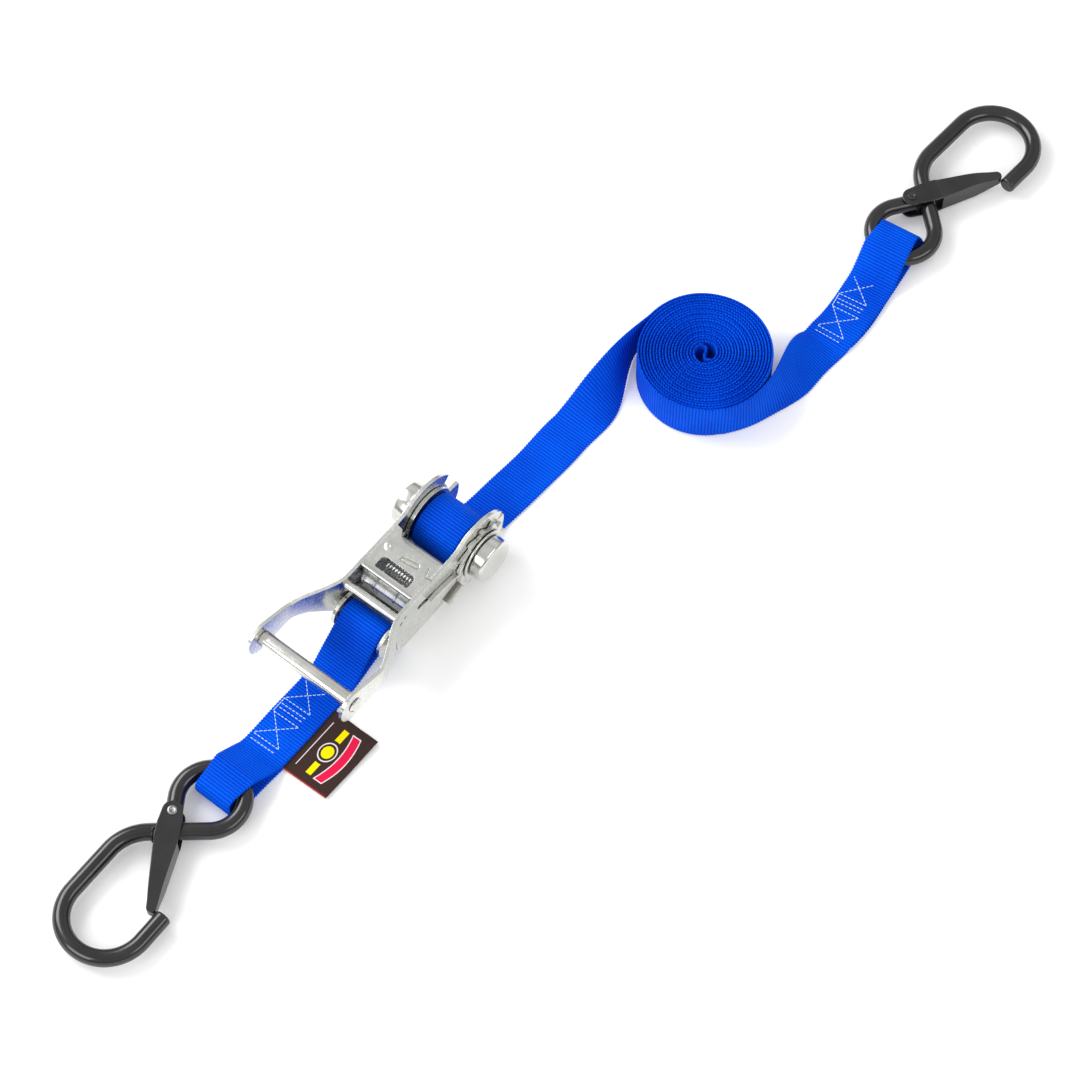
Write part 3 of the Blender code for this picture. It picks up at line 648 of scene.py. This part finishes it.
def coil_line():
    """Centre line of the coil round its centre: in along one arm and out along the other."""
    per_turn = 72
    arm = []
    for i in range(int(COIL_TURNS * per_turn) + 1):
        swept = math.tau * i / per_turn
        radius = COIL_RADIUS - 2 * LAYER_STEP * swept / math.tau
        angle = math.pi / 2 - swept
        arm.append((radius * math.cos(angle), radius * math.sin(angle)))
    core = abs(arm[-1][1]) / 2
    lower = arc((0, -core), core, 270, 90, 20)[1:]
    upper = arc((0, core), core, -90, 90, 20)[1:-1]
    return arm + lower + upper + [(-x, -y) for x, y in reversed(arm)]


def run_from_coil():
    """From the coil's outer turn, leaning back until the strap lies flat on the floor."""
    cx, cy = COIL_CENTRE
    flat_low = cy - COIL_RADIUS - HALF_WEB
    edges = []
    steps = 110
    for i in range(1, steps + 1):
        x = COIL_LEAVE + (COIL_EXIT - COIL_LEAVE) * i / steps
        circle = cy - math.sqrt(max(COIL_RADIUS**2 - min(x, 0.0) ** 2, 0.0))
        low = circle + (flat_low - circle) * smooth(x, COIL_LEAVE, 30.0)
        high = circle + HALF_WEB * smooth(x, 2.0, COIL_EXIT)
        middle, heading = strap_b_line(cx + x)
        shift = middle - (cy - COIL_RADIUS)
        one, two = lifted(low + shift, high + shift, cx + x)
        one.x += math.sin(heading) * HALF_WEB
        two.x -= math.sin(heading) * HALF_WEB
        edges.append((one, two))
    return edges


def eye_stations(drift, step=0.8):
    """The strap's loop round the hook wire, from the upper layer round to the lower one.

    It starts EYE_START before the swing axis, runs towards -X and ends below that axis. Each station is
    (x, z, side, half width), and drift moves the loop sideways.
    """
    over = WIRE_RADIUS + WRAP_GAP + LAYER_Z
    near, far = -SWING_REACH + EYE_RADIUS, -SWING_REACH + over
    top, floor = LAYER_Z + LAYER_STEP, LAYER_Z
    rise = 12.0
    stops = [
        ((EYE_START, top), 0, 1),
        ((EYE_START - 0.5, top + rise), rise, -1),
        ((near, HOOK_Z), over, 1),
        ((far, HOOK_Z), over, 1),
        ((0.0, floor), 0, 1),
    ]
    path = tangent_path(stops, step)
    stations = []
    for i, (x, z) in enumerate(path):
        lower = smooth(i / (len(path) - 1), 0.55, 0.75)
        fold = smooth(x, near + 6.0, far)
        half = HALF_WEB + (HALF_FOLD - HALF_WEB) * fold * (1 - 0.6 * lower)
        back = math.copysign(1.6, drift) * lower * smooth(-x, 0.0, 20.0)
        side = drift * smooth(-x, 0.0, -near) - back
        stations.append((x, z, side, half))
    return stations


def strap_b_line(x):
    """Middle y and heading of the strap's straight end on the floor."""
    eye_x = SWING_B.x + SWING_REACH * math.cos(STRAP_B_TURN)
    eye_y = SWING_B.y + SWING_REACH * math.sin(STRAP_B_TURN)
    share = smooth(x, COIL_CENTRE[0] + 38.0, SPINDLE.x + 256.0)
    straight = eye_y + math.tan(STRAP_B_TURN) * (x - eye_x)
    y = (1 - share) * (COIL_CENTRE[1] - COIL_RADIUS) + share * straight
    return y, STRAP_B_TURN * share


def long_strap():
    """One strap from under the drum, round the coil and on to its sewn loop on hook B."""
    cx, cy = COIL_CENTRE
    edges = run_to_coil()
    line = coil_line()
    leave = next(i for i in reversed(range(len(line))) if line[i][0] < COIL_LEAVE and line[i][1] < 0)
    for i, (x, y) in enumerate(line[: leave + 1]):
        radius = math.hypot(x, y)
        inner = smooth(radius, COIL_RADIUS - 1.0, COIL_RADIUS - 6.0)
        lift = 0.35 * inner * math.sin(radius * 2.3 + 1.7 * math.atan2(y, x)) + 0.3 * inner
        low = Vector((cx + x, cy + y, EDGE_Z + max(0.0, lift)))
        high = Vector((cx + x, cy + y, WEB_WIDTH + EDGE_Z * (1 - inner) + lift - 0.35 * inner))
        edges.append((low, high))
    edges += run_from_coil()
    end_x = SWING_B.x
    start_x = COIL_CENTRE[0] + COIL_EXIT + 0.6
    steps = 70

    def flat(x, z):
        y, heading = strap_b_line(x)
        across = Vector((-math.sin(heading), math.cos(heading), 0))
        middle = Vector((x, y, z))
        return middle - across * HALF_WEB, middle + across * HALF_WEB

    for i in range(steps):
        x = start_x + (end_x - EYE_START - start_x) * i / steps
        edges.append(flat(x, LAYER_Z + LAYER_STEP * smooth(x, start_x, DOUBLE_START + 2.0)))
    turn = Matrix.Rotation(STRAP_B_TURN + math.pi, 3, "Z")
    origin = Vector((SWING_B.x, SWING_B.y, 0))
    for x, z, side, half in eye_stations(-1.2):
        low = origin + turn @ Vector((x, side + half, z))
        high = origin + turn @ Vector((x, side - half, z))
        edges.append((low, high))
    steps = 39
    for i in range(1, steps + 1):
        x = end_x + (DOUBLE_START + 1.5 - end_x) * i / steps
        edges.append(flat(x, LAYER_Z))
    strap = webbing("webbing_long_strap", edges)
    way = Vector((math.cos(STRAP_B_TURN), math.sin(STRAP_B_TURN), 0))
    start, end = (SWING_B - way * BEND_REACH) * MM, (SWING_B + way * BEND_REACH) * MM
    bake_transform(strap)
    stands_for(strap, "blue_webbing", "long_strap", "long_strap_eye")
    return start, end


def short_strap():
    """One strap: from below the sewing, round the anchor sleeve and back, then round hook A and back."""
    floor = LAYER_Z
    upper = floor + LAYER_STEP
    loop = SLEEVE_RADIUS + WRAP_GAP + LAYER_Z
    bend, bend_x = 12.0, BOLT.x - 33.0
    seam_x = SWING_A.x + 22.0
    stops = [
        ((seam_x, floor), 0, 1),
        ((bend_x, floor + bend), bend, 1),
        ((BOLT.x, BOLT.z), loop, 1),
        ((bend_x, upper + bend), bend, -1),
        ((SWING_A.x + EYE_START + 0.3, upper), 0, 1),
    ]
    edges = []
    for x, z in tangent_path(stops, 0.8):
        edges.append((Vector((x, -HALF_WEB, z)), Vector((x, HALF_WEB, z))))
    for x, z, side, half in eye_stations(1.3):
        edges.append((Vector((SWING_A.x + x, side - half, z)), Vector((SWING_A.x + x, side + half, z))))
    last_x = seam_x - 0.4
    edges.append((Vector((last_x, -HALF_WEB, floor)), Vector((last_x, HALF_WEB, floor))))
    strap = webbing("webbing_short_strap", edges, 0.6)
    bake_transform(strap)
    stands_for(strap, "blue_webbing", "short_strap", "short_strap_eye")


def drum():
    """The webbing wound on the spindle, turn on turn."""
    edges = []
    turns, steps = 6.2, 60
    inner = 6.9
    outer = DRUM_RADIUS - WEB_THICK / 2
    for i in range(int(turns * steps) + 1):
        swept = math.tau * i / steps
        share = min(i / (turns * steps - steps), 1.0)
        radius = inner + (outer - inner) * share
        angle = math.radians(-90) - math.tau * turns + swept
        x, z = SPINDLE.x + radius * math.cos(angle), SPINDLE.z + radius * math.sin(angle)
        side = 0.25 * math.sin(i * 0.11) * (1 - share)
        edges.append((Vector((x, side - HALF_WEB, z)), Vector((x, side + HALF_WEB, z))))
    wound = webbing("webbing_on_spindle", edges, 0.2, 0.0)
    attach(wound, "spindle")
    stands_for(wound, "blue_webbing", "webbing_drum")


# Stitching ----------------------------------------------------------


def stitch_line(verts, faces, start, end, lift, pitch=2.3, length=1.75, radius=0.24):
    """A row of stitches, each a small pointed bead of thread pressed into the cloth."""
    start, end = Vector(start), Vector(end)
    way = (end - start).normalized()
    side = Vector((-way.y, way.x, 0))
    count = max(1, round((end - start).length / pitch))
    shares = ((-0.5, 0.3), (-0.38, 0.85), (0.0, 1.0), (0.38, 0.85), (0.5, 0.3))
    for i in range(count):
        centre = start.lerp(end, (i + 0.5) / count)
        offset = len(verts)
        for share, size in shares:
            for j in range(6):
                a = math.tau * j / 6
                point = centre + way * share * length + side * radius * size * math.cos(a)
                point.z += lift + radius * size * math.sin(a) - (0.12 if size < 0.5 else 0.0)
                verts.append(tuple(point))
        faces.extend(ring_faces(len(shares), 6, offset))


def box_stitches(name, place):
    """Two crossed boxes of stitching with rows between them.

    place(along, across) gives a point on the strap.
    """
    verts, faces = [], []
    half, lift = HALF_SEAM, 0.12
    box_end, second_end = BOX_LENGTH, SECOND_BOX + BOX_LENGTH
    rows = [(box_end, 1.0), (18.2, 0.98), (20.6, 0.92)]
    rows += [(SECOND_BOX, 1.0), (second_end, 1.0), (SEWN_LENGTH, 0.95)]
    for along, share in rows:
        stitch_line(verts, faces, place(along, -half * share), place(along + 0.5, half * share), lift)
    for first, last in ((0.0, box_end), (SECOND_BOX, second_end)):
        stitch_line(verts, faces, place(first, -half), place(last, half), lift)
        stitch_line(verts, faces, place(last, -half), place(first, half), lift)
    side = half + 0.2
    stitch_line(verts, faces, place(box_end, side), place(SECOND_BOX + 0.2, side), lift, 1.5, 1.4, 0.28)
    return make_object(name, verts, faces, THREAD, None, 80.0)


def stitching():
    """The sewing of both straps."""
    top = LAYER_Z + LAYER_STEP + WEB_THICK / 2

    def place_a(along, across):
        return SPINDLE.x - 101.4 - along, 3.0 + across, top

    def place_b(along, across):
        x = SPINDLE.x + 266.5 - along
        share = along / SEWN_LENGTH
        middle, heading = strap_b_line(x)
        y = middle + 3.2 * (1 - share) + 1.0 + math.cos(heading) * across
        return x - math.sin(heading) * across, y, top

    sewn_a = box_stitches("stitching_short_strap", place_a)
    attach(sewn_a, "short_strap")
    stands_for(sewn_a, "blue_webbing")
    sewn_b = box_stitches("stitching_long_strap", place_b)
    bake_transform(sewn_b)
    stands_for(sewn_b, "blue_webbing")


def label():
    """A cloth tag sewn to the strap's edge, curling a little at its free end."""
    low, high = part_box("label_tag")
    low, high = low / MM, high / MM
    width, height = high.x - low.x, high.y - low.y + 2.4
    steps_x, steps_y = 48, 32
    verts, uvs, faces = [], [], []
    near_z, thick = low.z + 0.15, 0.26
    for layer in (1, -1):
        for i in range(steps_x + 1):
            for j in range(steps_y + 1):
                s, t = i / steps_x, j / steps_y
                x = low.x + width * s + 1.2 * (0.5 - s) * t
                y = high.y + 1.6 - height * t - 0.8 * s * t
                corner = 1.8 * smooth(t, 0.45, 1.0) * smooth(s, 0.35, 1.0)
                wave = 0.55 * math.sin(3.1 * s + 1.0) * t
                z = near_z + max(corner + wave, 0.0) + layer * thick
                verts.append((x, y, z))
                uvs.append((width * (1 - s), height * t))
    row = steps_y + 1
    offset = (steps_x + 1) * row
    for i in range(steps_x):
        for j in range(steps_y):
            a = i * row + j
            faces.append((a, a + 1, a + row + 1, a + row))
            faces.append((offset + a, offset + a + row, offset + a + row + 1, offset + a + 1))
    rim = [i * row for i in range(steps_x + 1)]
    rim += [steps_x * row + j for j in range(1, row)]
    rim += [i * row + steps_y for i in reversed(range(steps_x))]
    rim += list(reversed(range(1, steps_y)))
    for a, b in zip(rim, rim[1:] + rim[:1]):
        faces.append((a, b, offset + b, offset + a))
    finish = label_finish(width, height)
    tag = make_object("label_cloth_tag", verts, faces, finish, "short_strap", 60.0, uvs)
    stands_for(tag, "tag_cloth", "label_tag")


# Hooks --------------------------------------------------------------


def hook_matrix(letter):
    """The place of a hook drawn flat round its rivet; hook B lies the other way up."""
    if letter == "a":
        return Matrix.Translation(RIVET_A) @ Matrix.Rotation(HOOK_A_TURN, 4, "Z")
    turned_over = Matrix.Rotation(math.pi, 4, "X")
    return Matrix.Translation(RIVET_B) @ Matrix.Rotation(HOOK_B_TURN, 4, "Z") @ turned_over


def hook_wire(letter, place):
    stops = [
        (HOOK_BUTT, 0, 1),
        (EYE_CENTRE, EYE_RADIUS, -1),
        (THROAT_CENTRE, THROAT_RADIUS, 1),
        (BOW_CENTRE, BOW_RADIUS, 1),
        (HOOK_TIP, 0, 1),
    ]
    line = [place @ Vector((x, y, 0)) for x, y in tangent_path(stops, 1.2)]
    heading = (line[1] - line[0]).normalized()
    line[0] += heading * 0.6
    heading = (line[-1] - line[-2]).normalized()
    line[-1] -= heading * 1.2
    verts, faces = wire_mesh(line, WIRE_RADIUS, 28)
    wire = make_object(f"bent_hook_wire_{letter}", verts, faces, COATING, f"hook_{letter}", 50.0)
    round_edges(wire, 1.2, 60, 4)
    stands_for(wire, "black_coating", f"hook_wire_{letter}")


def gate(letter, place):
    """A folded sheet gate: a spine on the outer side and two flanges that hold the wire between them."""
    length = GATE_LENGTH
    outline = (
        arc((0, 0), 5.3, 90, 270, 24)
        + [(7.0, -6.2), (14.0, -6.3), (length - 6, -2.7)]
        + arc((length - 2.6, 0.1), 2.6, -75, 75, 14)
        + [(14.0, 6.1), (7.0, 6.1)]
    )
    shell = from_bmesh(f"folded_gate_{letter}", prism(outline, -GATE_OUT, GATE_OUT, "Z"), COATING)
    nose = length - 3.0
    hollow = [(-10, -10), (nose, -10), (nose, 1.9), (16, 4.8), (16, 12), (-10, 12)]
    combine(shell, prism(hollow, -GATE_IN, GATE_IN, "Z"))
    bm = bmesh.new()
    bm.from_mesh(shell.data)
    cuts = [CREASE_START, 16.0, CREASE_END, 24, 30, TAPER_START]
    cuts += [37, 40, 42, 44, 45.5, 47, 48, 49, 50, 50.8, 51.5]
    bisect(bm, [x * MM for x in cuts])
    for vert in bm.verts:
        x = vert.co.x / MM
        crease = 0.45 * MM * smooth(x, CREASE_START, CREASE_END)
        taper = 1 - 0.62 * smooth(x, TAPER_START, length + 3.0)
        vert.co.z = math.copysign(abs(vert.co.z) - crease, vert.co.z) * taper
    bm.to_mesh(shell.data)
    bm.free()
    settle(shell, place @ Matrix.Rotation(GATE_ANGLE, 4, "Z"), 0.5)
    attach(shell, f"gate_{letter}")
    stands_for(shell, "black_coating", f"gate_{letter}")


def gate_spring(letter, place):
    """The thin wire from beside the rivet over the hook's throat, bent round the wire at its end."""
    way = math.radians(-57)
    heading = Vector((math.cos(way), math.sin(way), 0))
    inward = Vector((-heading.y, heading.x, 0))
    crossing = Vector((THROAT_CENTRE[0], THROAT_CENTRE[1], 0)) - inward * THROAT_RADIUS
    up = Vector((0, 0, 1))
    reach = WIRE_RADIUS + 0.52
    start, top = Vector((3.4, 4.0, 0)) + up * reach, crossing + up * reach
    points = [start.lerp(top, i / 10) for i in range(10)]
    for i in range(31):
        angle = math.radians(90 - 4.2 * i)
        points.append(crossing + reach * (inward * math.cos(angle) + up * math.sin(angle)))
    verts, faces = wire_mesh([place @ point for point in points], 0.42, 10, 3)
    name = f"gate_spring_wire_{letter}"
    wire = make_object(name, verts, faces, COATING, f"hook_{letter}", 50.0)
    stands_for(wire, "black_coating", f"gate_spring_{letter}")


def turned(name, profile, place, finish, body, steps=64):
    """A turned piece from (radius, height) points round place's local Z, with a flat face at each end."""
    verts = []
    for radius, height in profile:
        for j in range(steps):
            a = math.tau * j / steps
            verts.append(tuple(place @ Vector((radius * math.cos(a), radius * math.sin(a), height))))
    return make_object(name, verts, ring_faces(len(profile), steps), finish, body, 30.0)


def both_ends(half):
    """A turned profile whose second end mirrors its first."""
    return half + [(radius, -y) for radius, y in reversed(half)]


def rivet(letter, place):
    """A rivet with a low rolled head round a small hollow on each side; hook B's is coated over."""
    head = [(0.2, 6.5), (0.6, 6.58), (1.0, 6.95), (1.35, 7.15), (1.8, 7.18), (2.3, 7.0)]
    head += [(2.6, 6.6), (2.6, 6.45), (1.5, 6.45)]
    finish = RIVET if letter == "a" else COATING
    made = turned(f"gate_rivet_head_{letter}", both_ends(head), place, finish, f"hook_{letter}")
    stands_for(made, "bright_steel", f"gate_rivet_{letter}")


def hooks():
    for letter in ("a", "b"):
        place = hook_matrix(letter)
        hook_wire(letter, place)
        gate(letter, place)
        gate_spring(letter, place)
        rivet(letter, place)


# Ratchet ------------------------------------------------------------


def spool_axis(x, z):
    """The place of a piece turned round a line along Y, at x and z counted from the spindle."""
    return Matrix.Translation((SPINDLE.x + x, 0, SPINDLE.z + z)) @ Matrix.Rotation(-math.pi / 2, 4, "X")


def turned_pieces():
    cap = [(0.3, 22.5), (11.9, 22.5), (12.3, 22.9), (12.3, 27.9), (12.15, 28.4)]
    cap += [(11.3, 29.25), (10.8, 29.45), (10.2, 29.5), (0.3, 29.5)]
    washer = [(0.3, 20.95), (13.6, 20.95), (14.3, 21.05), (14.6, 21.35), (14.6, 21.85)]
    washer += [(14.3, 22.15), (13.5, 22.2), (12.9, 22.05), (0.3, 22.05)]
    spool = spool_axis(0, 0)
    ends = (("cap", cap, BRIGHT, "bright_steel"), ("washer", washer, ZINC, "zinc"))
    for word, side in (("left", 1), ("right", -1)):
        for kind, profile, finish, slot in ends:
            node = f"spindle_{kind}_{word}"
            points = [(radius, side * y) for radius, y in profile]
            made = turned(f"turned_{node}", points, spool, finish, "spindle", 96)
            stands_for(made, slot, node)
    grip = spool_axis(*GRIP)
    bolt = spool_axis(BOLT.x - SPINDLE.x, BOLT.z - SPINDLE.z)
    tube = [(3.1, 28.3), (3.9, 28.3), (4.15, 28.1), (4.2, 27.8)]
    rod = [(0.5, 32.1), (2.6, 32.0), (3.6, 31.6), (4.1, 31.1), (4.15, 30.9), (2.8, 30.88)]
    sleeve = [(3.5, 13.4), (SLEEVE_RADIUS - 0.3, 13.4), (SLEEVE_RADIUS, 13.1)]
    pieces = (
        ("grip_tube", tube, grip, "handle"),
        ("grip_rod", rod, grip, "handle"),
        ("cross_rod", [(0.5, 16.9), (2.2, 16.9)], spool_axis(*CROSS_ROD), "handle"),
        ("anchor_bolt", [(0.5, 15.95), (2.7, 15.95), (3.2, 15.5)], bolt, "frame"),
        ("anchor_sleeve", sleeve, bolt, "frame"),
    )
    for node, half, place, body in pieces:
        made = turned(f"turned_{node}", both_ends(half), place, BRIGHT, body)
        stands_for(made, "bright_steel", node)


def coil_springs():
    """The two pawl springs, with fine round turns."""
    radius, turns, per_turn, half = 2.4, 9, 24, 8.0
    count = turns * per_turn
    springs = (("drive_pawl_spring", -39.0, 11.6, "handle"), ("lock_pawl_spring", -31.0, -9.0, "frame"))
    for node, x, z, body in springs:
        points = []
        for i in range(count + 1):
            angle = math.tau * i / per_turn
            side = -half + 2 * half * i / count
            across, up = radius * math.cos(angle), radius * math.sin(angle)
            points.append((SPINDLE.x + x + across, side, SPINDLE.z + z + up))
        verts, faces = wire_mesh(points, 0.45, 8, 2)
        made = make_object(f"coiled_{node}", verts, faces, BRIGHT, body, 60.0)
        stands_for(made, "bright_steel", node)


def handle_outline():
    """One side plate of the handle, counted from the spindle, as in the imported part."""
    top = [(-13.0, 18.8), (-20.0, WEB_TOP), (-66.0, WEB_TOP), (-88.0, 17.4)]
    low = [(-94.0, 5.4), (-88.0, 4.6), (-80.0, 1.4), (-72.0, -4.4), (-64.0, -10.4)]
    low += [(-56.0, -14.2), (-48.0, -16.0)]
    cut_out = [(-37.0, -16.0), (-36.0, -12.0), (-21.0, -8.5)]
    return (
        arc((0, 0), 23.5, 34, 108, 48)
        + top
        + arc(GRIP, 10.0, 80, 270, 36)
        + low
        + cut_out
        + arc((0, 0), 18.3, 205, 390, 72)
    )


def rounded_box(x_low, x_high, half, back_radius, front_radius):
    """A flat outline with rounded corners, from x_low to x_high."""
    back, front = x_low + back_radius, x_high - front_radius
    return (
        arc((front, half - front_radius), front_radius, 0, 90, 8)
        + arc((back, half - back_radius), back_radius, 90, 180, 8)
        + arc((back, back_radius - half), back_radius, 180, 270, 8)
        + arc((front, front_radius - half), front_radius, -90, 0, 8)
    )


def pressed_marks(sheet):
    """The marks pressed in the handle's web and in its near side plate."""
    top = WEB_TOP
    # An oblong with a plain raised middle
    oblong = Matrix.Translation((-33.9, -2.5, 0)) @ Matrix.Rotation(math.radians(8.0), 4, "Z")
    outer = rounded_box(-1.7, 1.7, 5.6, 1.65, 1.65)
    combine(sheet, prism(outer, top - 1.3, top + 1, "Z"), "DIFFERENCE", oblong)
    middle = rounded_box(-0.75, 0.75, 4.5, 0.7, 0.7)
    combine(sheet, prism(middle, top - 1.6, top - 0.3, "Z"), "UNION", oblong)
    # A V beside the side plate
    for way, length in ((196.0, 5.6), (104.0, 4.4)):
        line = Matrix.Translation((-35.6, -13.6, 0)) @ Matrix.Rotation(math.radians(way), 4, "Z")
        combine(sheet, box((-length, -0.36, top - 1.2), (0.3, 0.36, top + 1)), "DIFFERENCE", line)
    # Two dots and a short curved mark on the near plate
    for x, z, radius in ((-56.6, 11.7, 0.95), (-60.0, 9.9, 1.15)):
        combine(sheet, prism(arc((x, z), radius, 0, 345, 23), -19.0, -17.5))
    crescent = arc((-58.0, -3.2), 9.0, 150, 205, 12) + arc((-57.0, -3.2), 9.0, 203, 152, 12)
    combine(sheet, prism(crescent, -30.0, -17.6))


def handle_sheet():
    """The handle's stamped sheet: side plates that flare to the grip, and the web with its window."""
    top, through = WEB_TOP, 34
    web = [(-49.5, -17.0), (-24.5, -17.0), (-26.0, -13.5), (-26.5, -9.0), (-26.5, 7.0), (-25.0, 10.0)]
    web += [(-21.5, 12.5), (-20.6, 17.0), (-49.5, 17.0)]
    sheet = from_bmesh("stamped_handle_sheet", prism(web, top - 2.0, top - 0.1, "Z"), ZINC)
    steps = 24
    flare_places = [FLARE_START + (FLARE_END - FLARE_START) * i / steps for i in range(steps + 1)]
    for side in (-1, 1):
        bm = prism(handle_outline(), PLATE_IN, PLATE_OUT)
        bisect(bm, flare_places)
        for vert in bm.verts:
            vert.co.y = side * (vert.co.y + FLARE * smooth(vert.co.x, FLARE_START, FLARE_END))
        combine(sheet, bm, "UNION")
    # The spindle's hole, the pawl's slots and the window
    combine(sheet, prism(arc((0, 0), 6.0, 0, 352.5, 47), -through, through))
    slot = arc((-18.0, 0.0), 1.85, -90, 90, 8) + arc((-46.0, 0.0), 1.85, 90, 270, 8)
    combine(sheet, prism(slot, -through, through), "DIFFERENCE", Matrix.Rotation(PAWL_TILT, 4, "Y"))
    combine(sheet, prism(rounded_box(-46.0, -38.5, 10.5, 1.2, 2.8), top - 4, top + 2, "Z"))
    pressed_marks(sheet)
    settle(sheet, Matrix.Translation((SPINDLE.x, 0, SPINDLE.z)), 0.5, 50.0, 2)
    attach(sheet, "handle")
    stands_for(sheet, "zinc", "handle_frame")


def web_details():
    """The rolled bar behind the web, and the pressed bead with its dimple across the left bend."""
    profile = both_ends([(0.4, -15.6), (1.0, -15.6), (1.15, -15.4)])
    bar = turned("rolled_web_bar", profile, spool_axis(-48.6, 17.1), BRIGHT, "handle", 24)
    stands_for(bar, "bright_steel")
    verts = []
    rings, sides = 14, 40
    centre, radius, skew, core = (-33.0, 11.6, 17.55), 4.2, 1.0, 0.02
    for i in range(rings):
        share = (i + core) / (rings - 1 + core)
        dome = 1.25 * (math.cos(math.pi * share) * 0.5 + 0.5)
        dimple = 0.55 * math.exp(-((share / 0.28) ** 2))
        for j in range(sides):
            a = math.tau * j / sides
            x = SPINDLE.x + centre[0] + radius * share * math.cos(a) + skew * share * math.sin(a)
            y = centre[1] + radius * share * math.sin(a)
            verts.append((x, y, SPINDLE.z + centre[2] + dome - dimple))
    bead = make_object("pressed_web_bead", verts, ring_faces(rings, sides), ZINC, "handle", 60.0)
    stands_for(bead, "zinc")


def drive_pawl():
    """The drive pawl's plate with pointed ears, and its sloping finger pull between four ribs."""
    plate = box((-50.0, -15.4, -1.25), (-19.5, 15.4, 1.25))
    pawl = from_bmesh("stamped_drive_pawl", plate, ZINC)
    ear = [(-19.0, -0.9), (-19.0, 0.9), (-24.0, 1.25), (-34.0, 1.25)]
    ear += [(-40.0, 0.3), (-40.0, -0.4), (-34.0, -1.25), (-24.0, -1.25)]
    combine(pawl, prism(ear, -20.8, 20.8), "UNION")
    slope = [(-48.8, 6.4), (-52.6, 0.8), (-52.6, -0.6), (-48.4, -1.0), (-48.4, 6.4)]
    combine(pawl, prism(slope, -14.0, 14.0), "UNION")
    rib = [(-53.2, -0.7), (-53.2, 1.4), (-50.2, 7.3), (-44.5, 6.0), (-44.5, 0.2), (-50.0, -0.7)]
    half_rib = 0.7
    for y in (-13.4, -6.5, 6.5, 13.4):
        combine(pawl, prism(rib, y - half_rib, y + half_rib), "UNION")
    place = Matrix.Translation((SPINDLE.x, 0, SPINDLE.z)) @ Matrix.Rotation(PAWL_TILT, 4, "Y")
    settle(pawl, place, 0.35, 50.0, 2)
    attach(pawl, "drive_pawl")
    stands_for(pawl, "zinc", "drive_pawl")


def ratchet():
    turned_pieces()
    coil_springs()
    handle_sheet()
    web_details()
    drive_pawl()


# Carried-over pieces ------------------------------------------------


def finish_cad():
    """Gives the CAD nodes their node material. Those that a piece stands for are hidden."""
    bright = {"spindle_half_lower", "spindle_half_upper"}
    for name, node in frame["nodes"].items():
        for slot in node.material_slots:
            slot.material = BRIGHT if name in bright else ZINC


# Stage --------------------------------------------------------------


def pale_floor():
    bpy.ops.mesh.primitive_plane_add(size=20.0, location=(0, 0, -0.00005))
    floor = bpy.context.object
    floor.name = "floor"
    f = Finish("pale_floor")
    shade = f.ramp(f.noise(3.0, 2.0), (0.3, (0.90, 0.90, 0.90)), (0.7, (0.92, 0.92, 0.92)))
    f.set(Base_Color=shade, Roughness=0.9, Specular_IOR_Level=0.1)
    f.set(Emission_Color=shade, Emission_Strength=0.14)
    floor.data.materials.append(f.material)


def studio_world():
    """Light that is darker near the horizon and in a ring high up, for the steel to reflect."""
    world = bpy.data.worlds.new("studio")
    world.use_nodes = True
    nodes, links = world.node_tree.nodes, world.node_tree.links
    background = nodes["Background"]
    place = nodes.new("ShaderNodeTexCoord")
    split = nodes.new("ShaderNodeSeparateXYZ")
    ramp = nodes.new("ShaderNodeValToRGB")
    links.new(place.outputs["Generated"], split.inputs[0])
    links.new(split.outputs["Z"], ramp.inputs["Fac"])
    links.new(ramp.outputs["Color"], background.inputs["Color"])
    elements = ramp.color_ramp.elements
    elements[0].position, elements[0].color = 0.0, (0.30, 0.31, 0.33, 1)
    elements[1].position, elements[1].color = 1.0, (0.80, 0.80, 0.79, 1)
    for position, tone in ((0.2, 0.42), (0.45, 0.78), (0.62, 0.80), (0.8, 0.62)):
        elements.new(position).color = (tone, tone, tone, 1)
    background.inputs["Strength"].default_value = 1.0
    bpy.context.scene.world = world


def softbox(name, place, size, power):
    """A soft rectangular lamp, in metres and watts, aimed at the object's middle."""
    lamp = bpy.data.lights.new(name, "AREA")
    lamp.shape = "RECTANGLE"
    lamp.size, lamp.size_y = size
    lamp.energy = power
    aim = Vector((0.08, -0.03, 0.0))
    obj = bpy.data.objects.new(name, lamp)
    obj.location = place
    obj.rotation_euler = (Vector(place) - aim).to_track_quat("Z", "Y").to_euler()
    bpy.context.scene.collection.objects.link(obj)


def studio_camera():
    scene = bpy.context.scene
    azimuth, elevation, distance = math.radians(-51.5), math.radians(61.0), 1.7
    level = math.cos(elevation)
    back = Vector((math.sin(azimuth) * level, -math.cos(azimuth) * level, math.sin(elevation)))
    look = Vector((SPINDLE.x + 33.9, -31.3, 0.0)) * MM
    camera = bpy.data.objects.new("camera", bpy.data.cameras.new("camera"))
    camera.location = look + back * distance
    camera.rotation_euler = back.to_track_quat("Z", "Y").to_euler()
    camera.data.lens = 110.5
    camera.data.sensor_width = 36.0
    camera.data.clip_start = 0.01
    scene.collection.objects.link(camera)
    scene.camera = camera
    scene.view_settings.view_transform = "Standard"


def stage():
    pale_floor()
    studio_world()
    softbox("key", (-0.1, 1.5, 1.35), (1.5, 1.1), 30)
    softbox("side", (-1.7, 0.3, 1.1), (1.2, 0.9), 14)
    softbox("front", (0.3, -1.8, 1.2), (1.6, 0.6), 10)
    studio_camera()


def main():
    finish_cad()
    start_b, end_b = long_strap()
    short_strap()
    drum()
    stitching()
    label()
    hooks()
    ratchet()
    stage()


main()
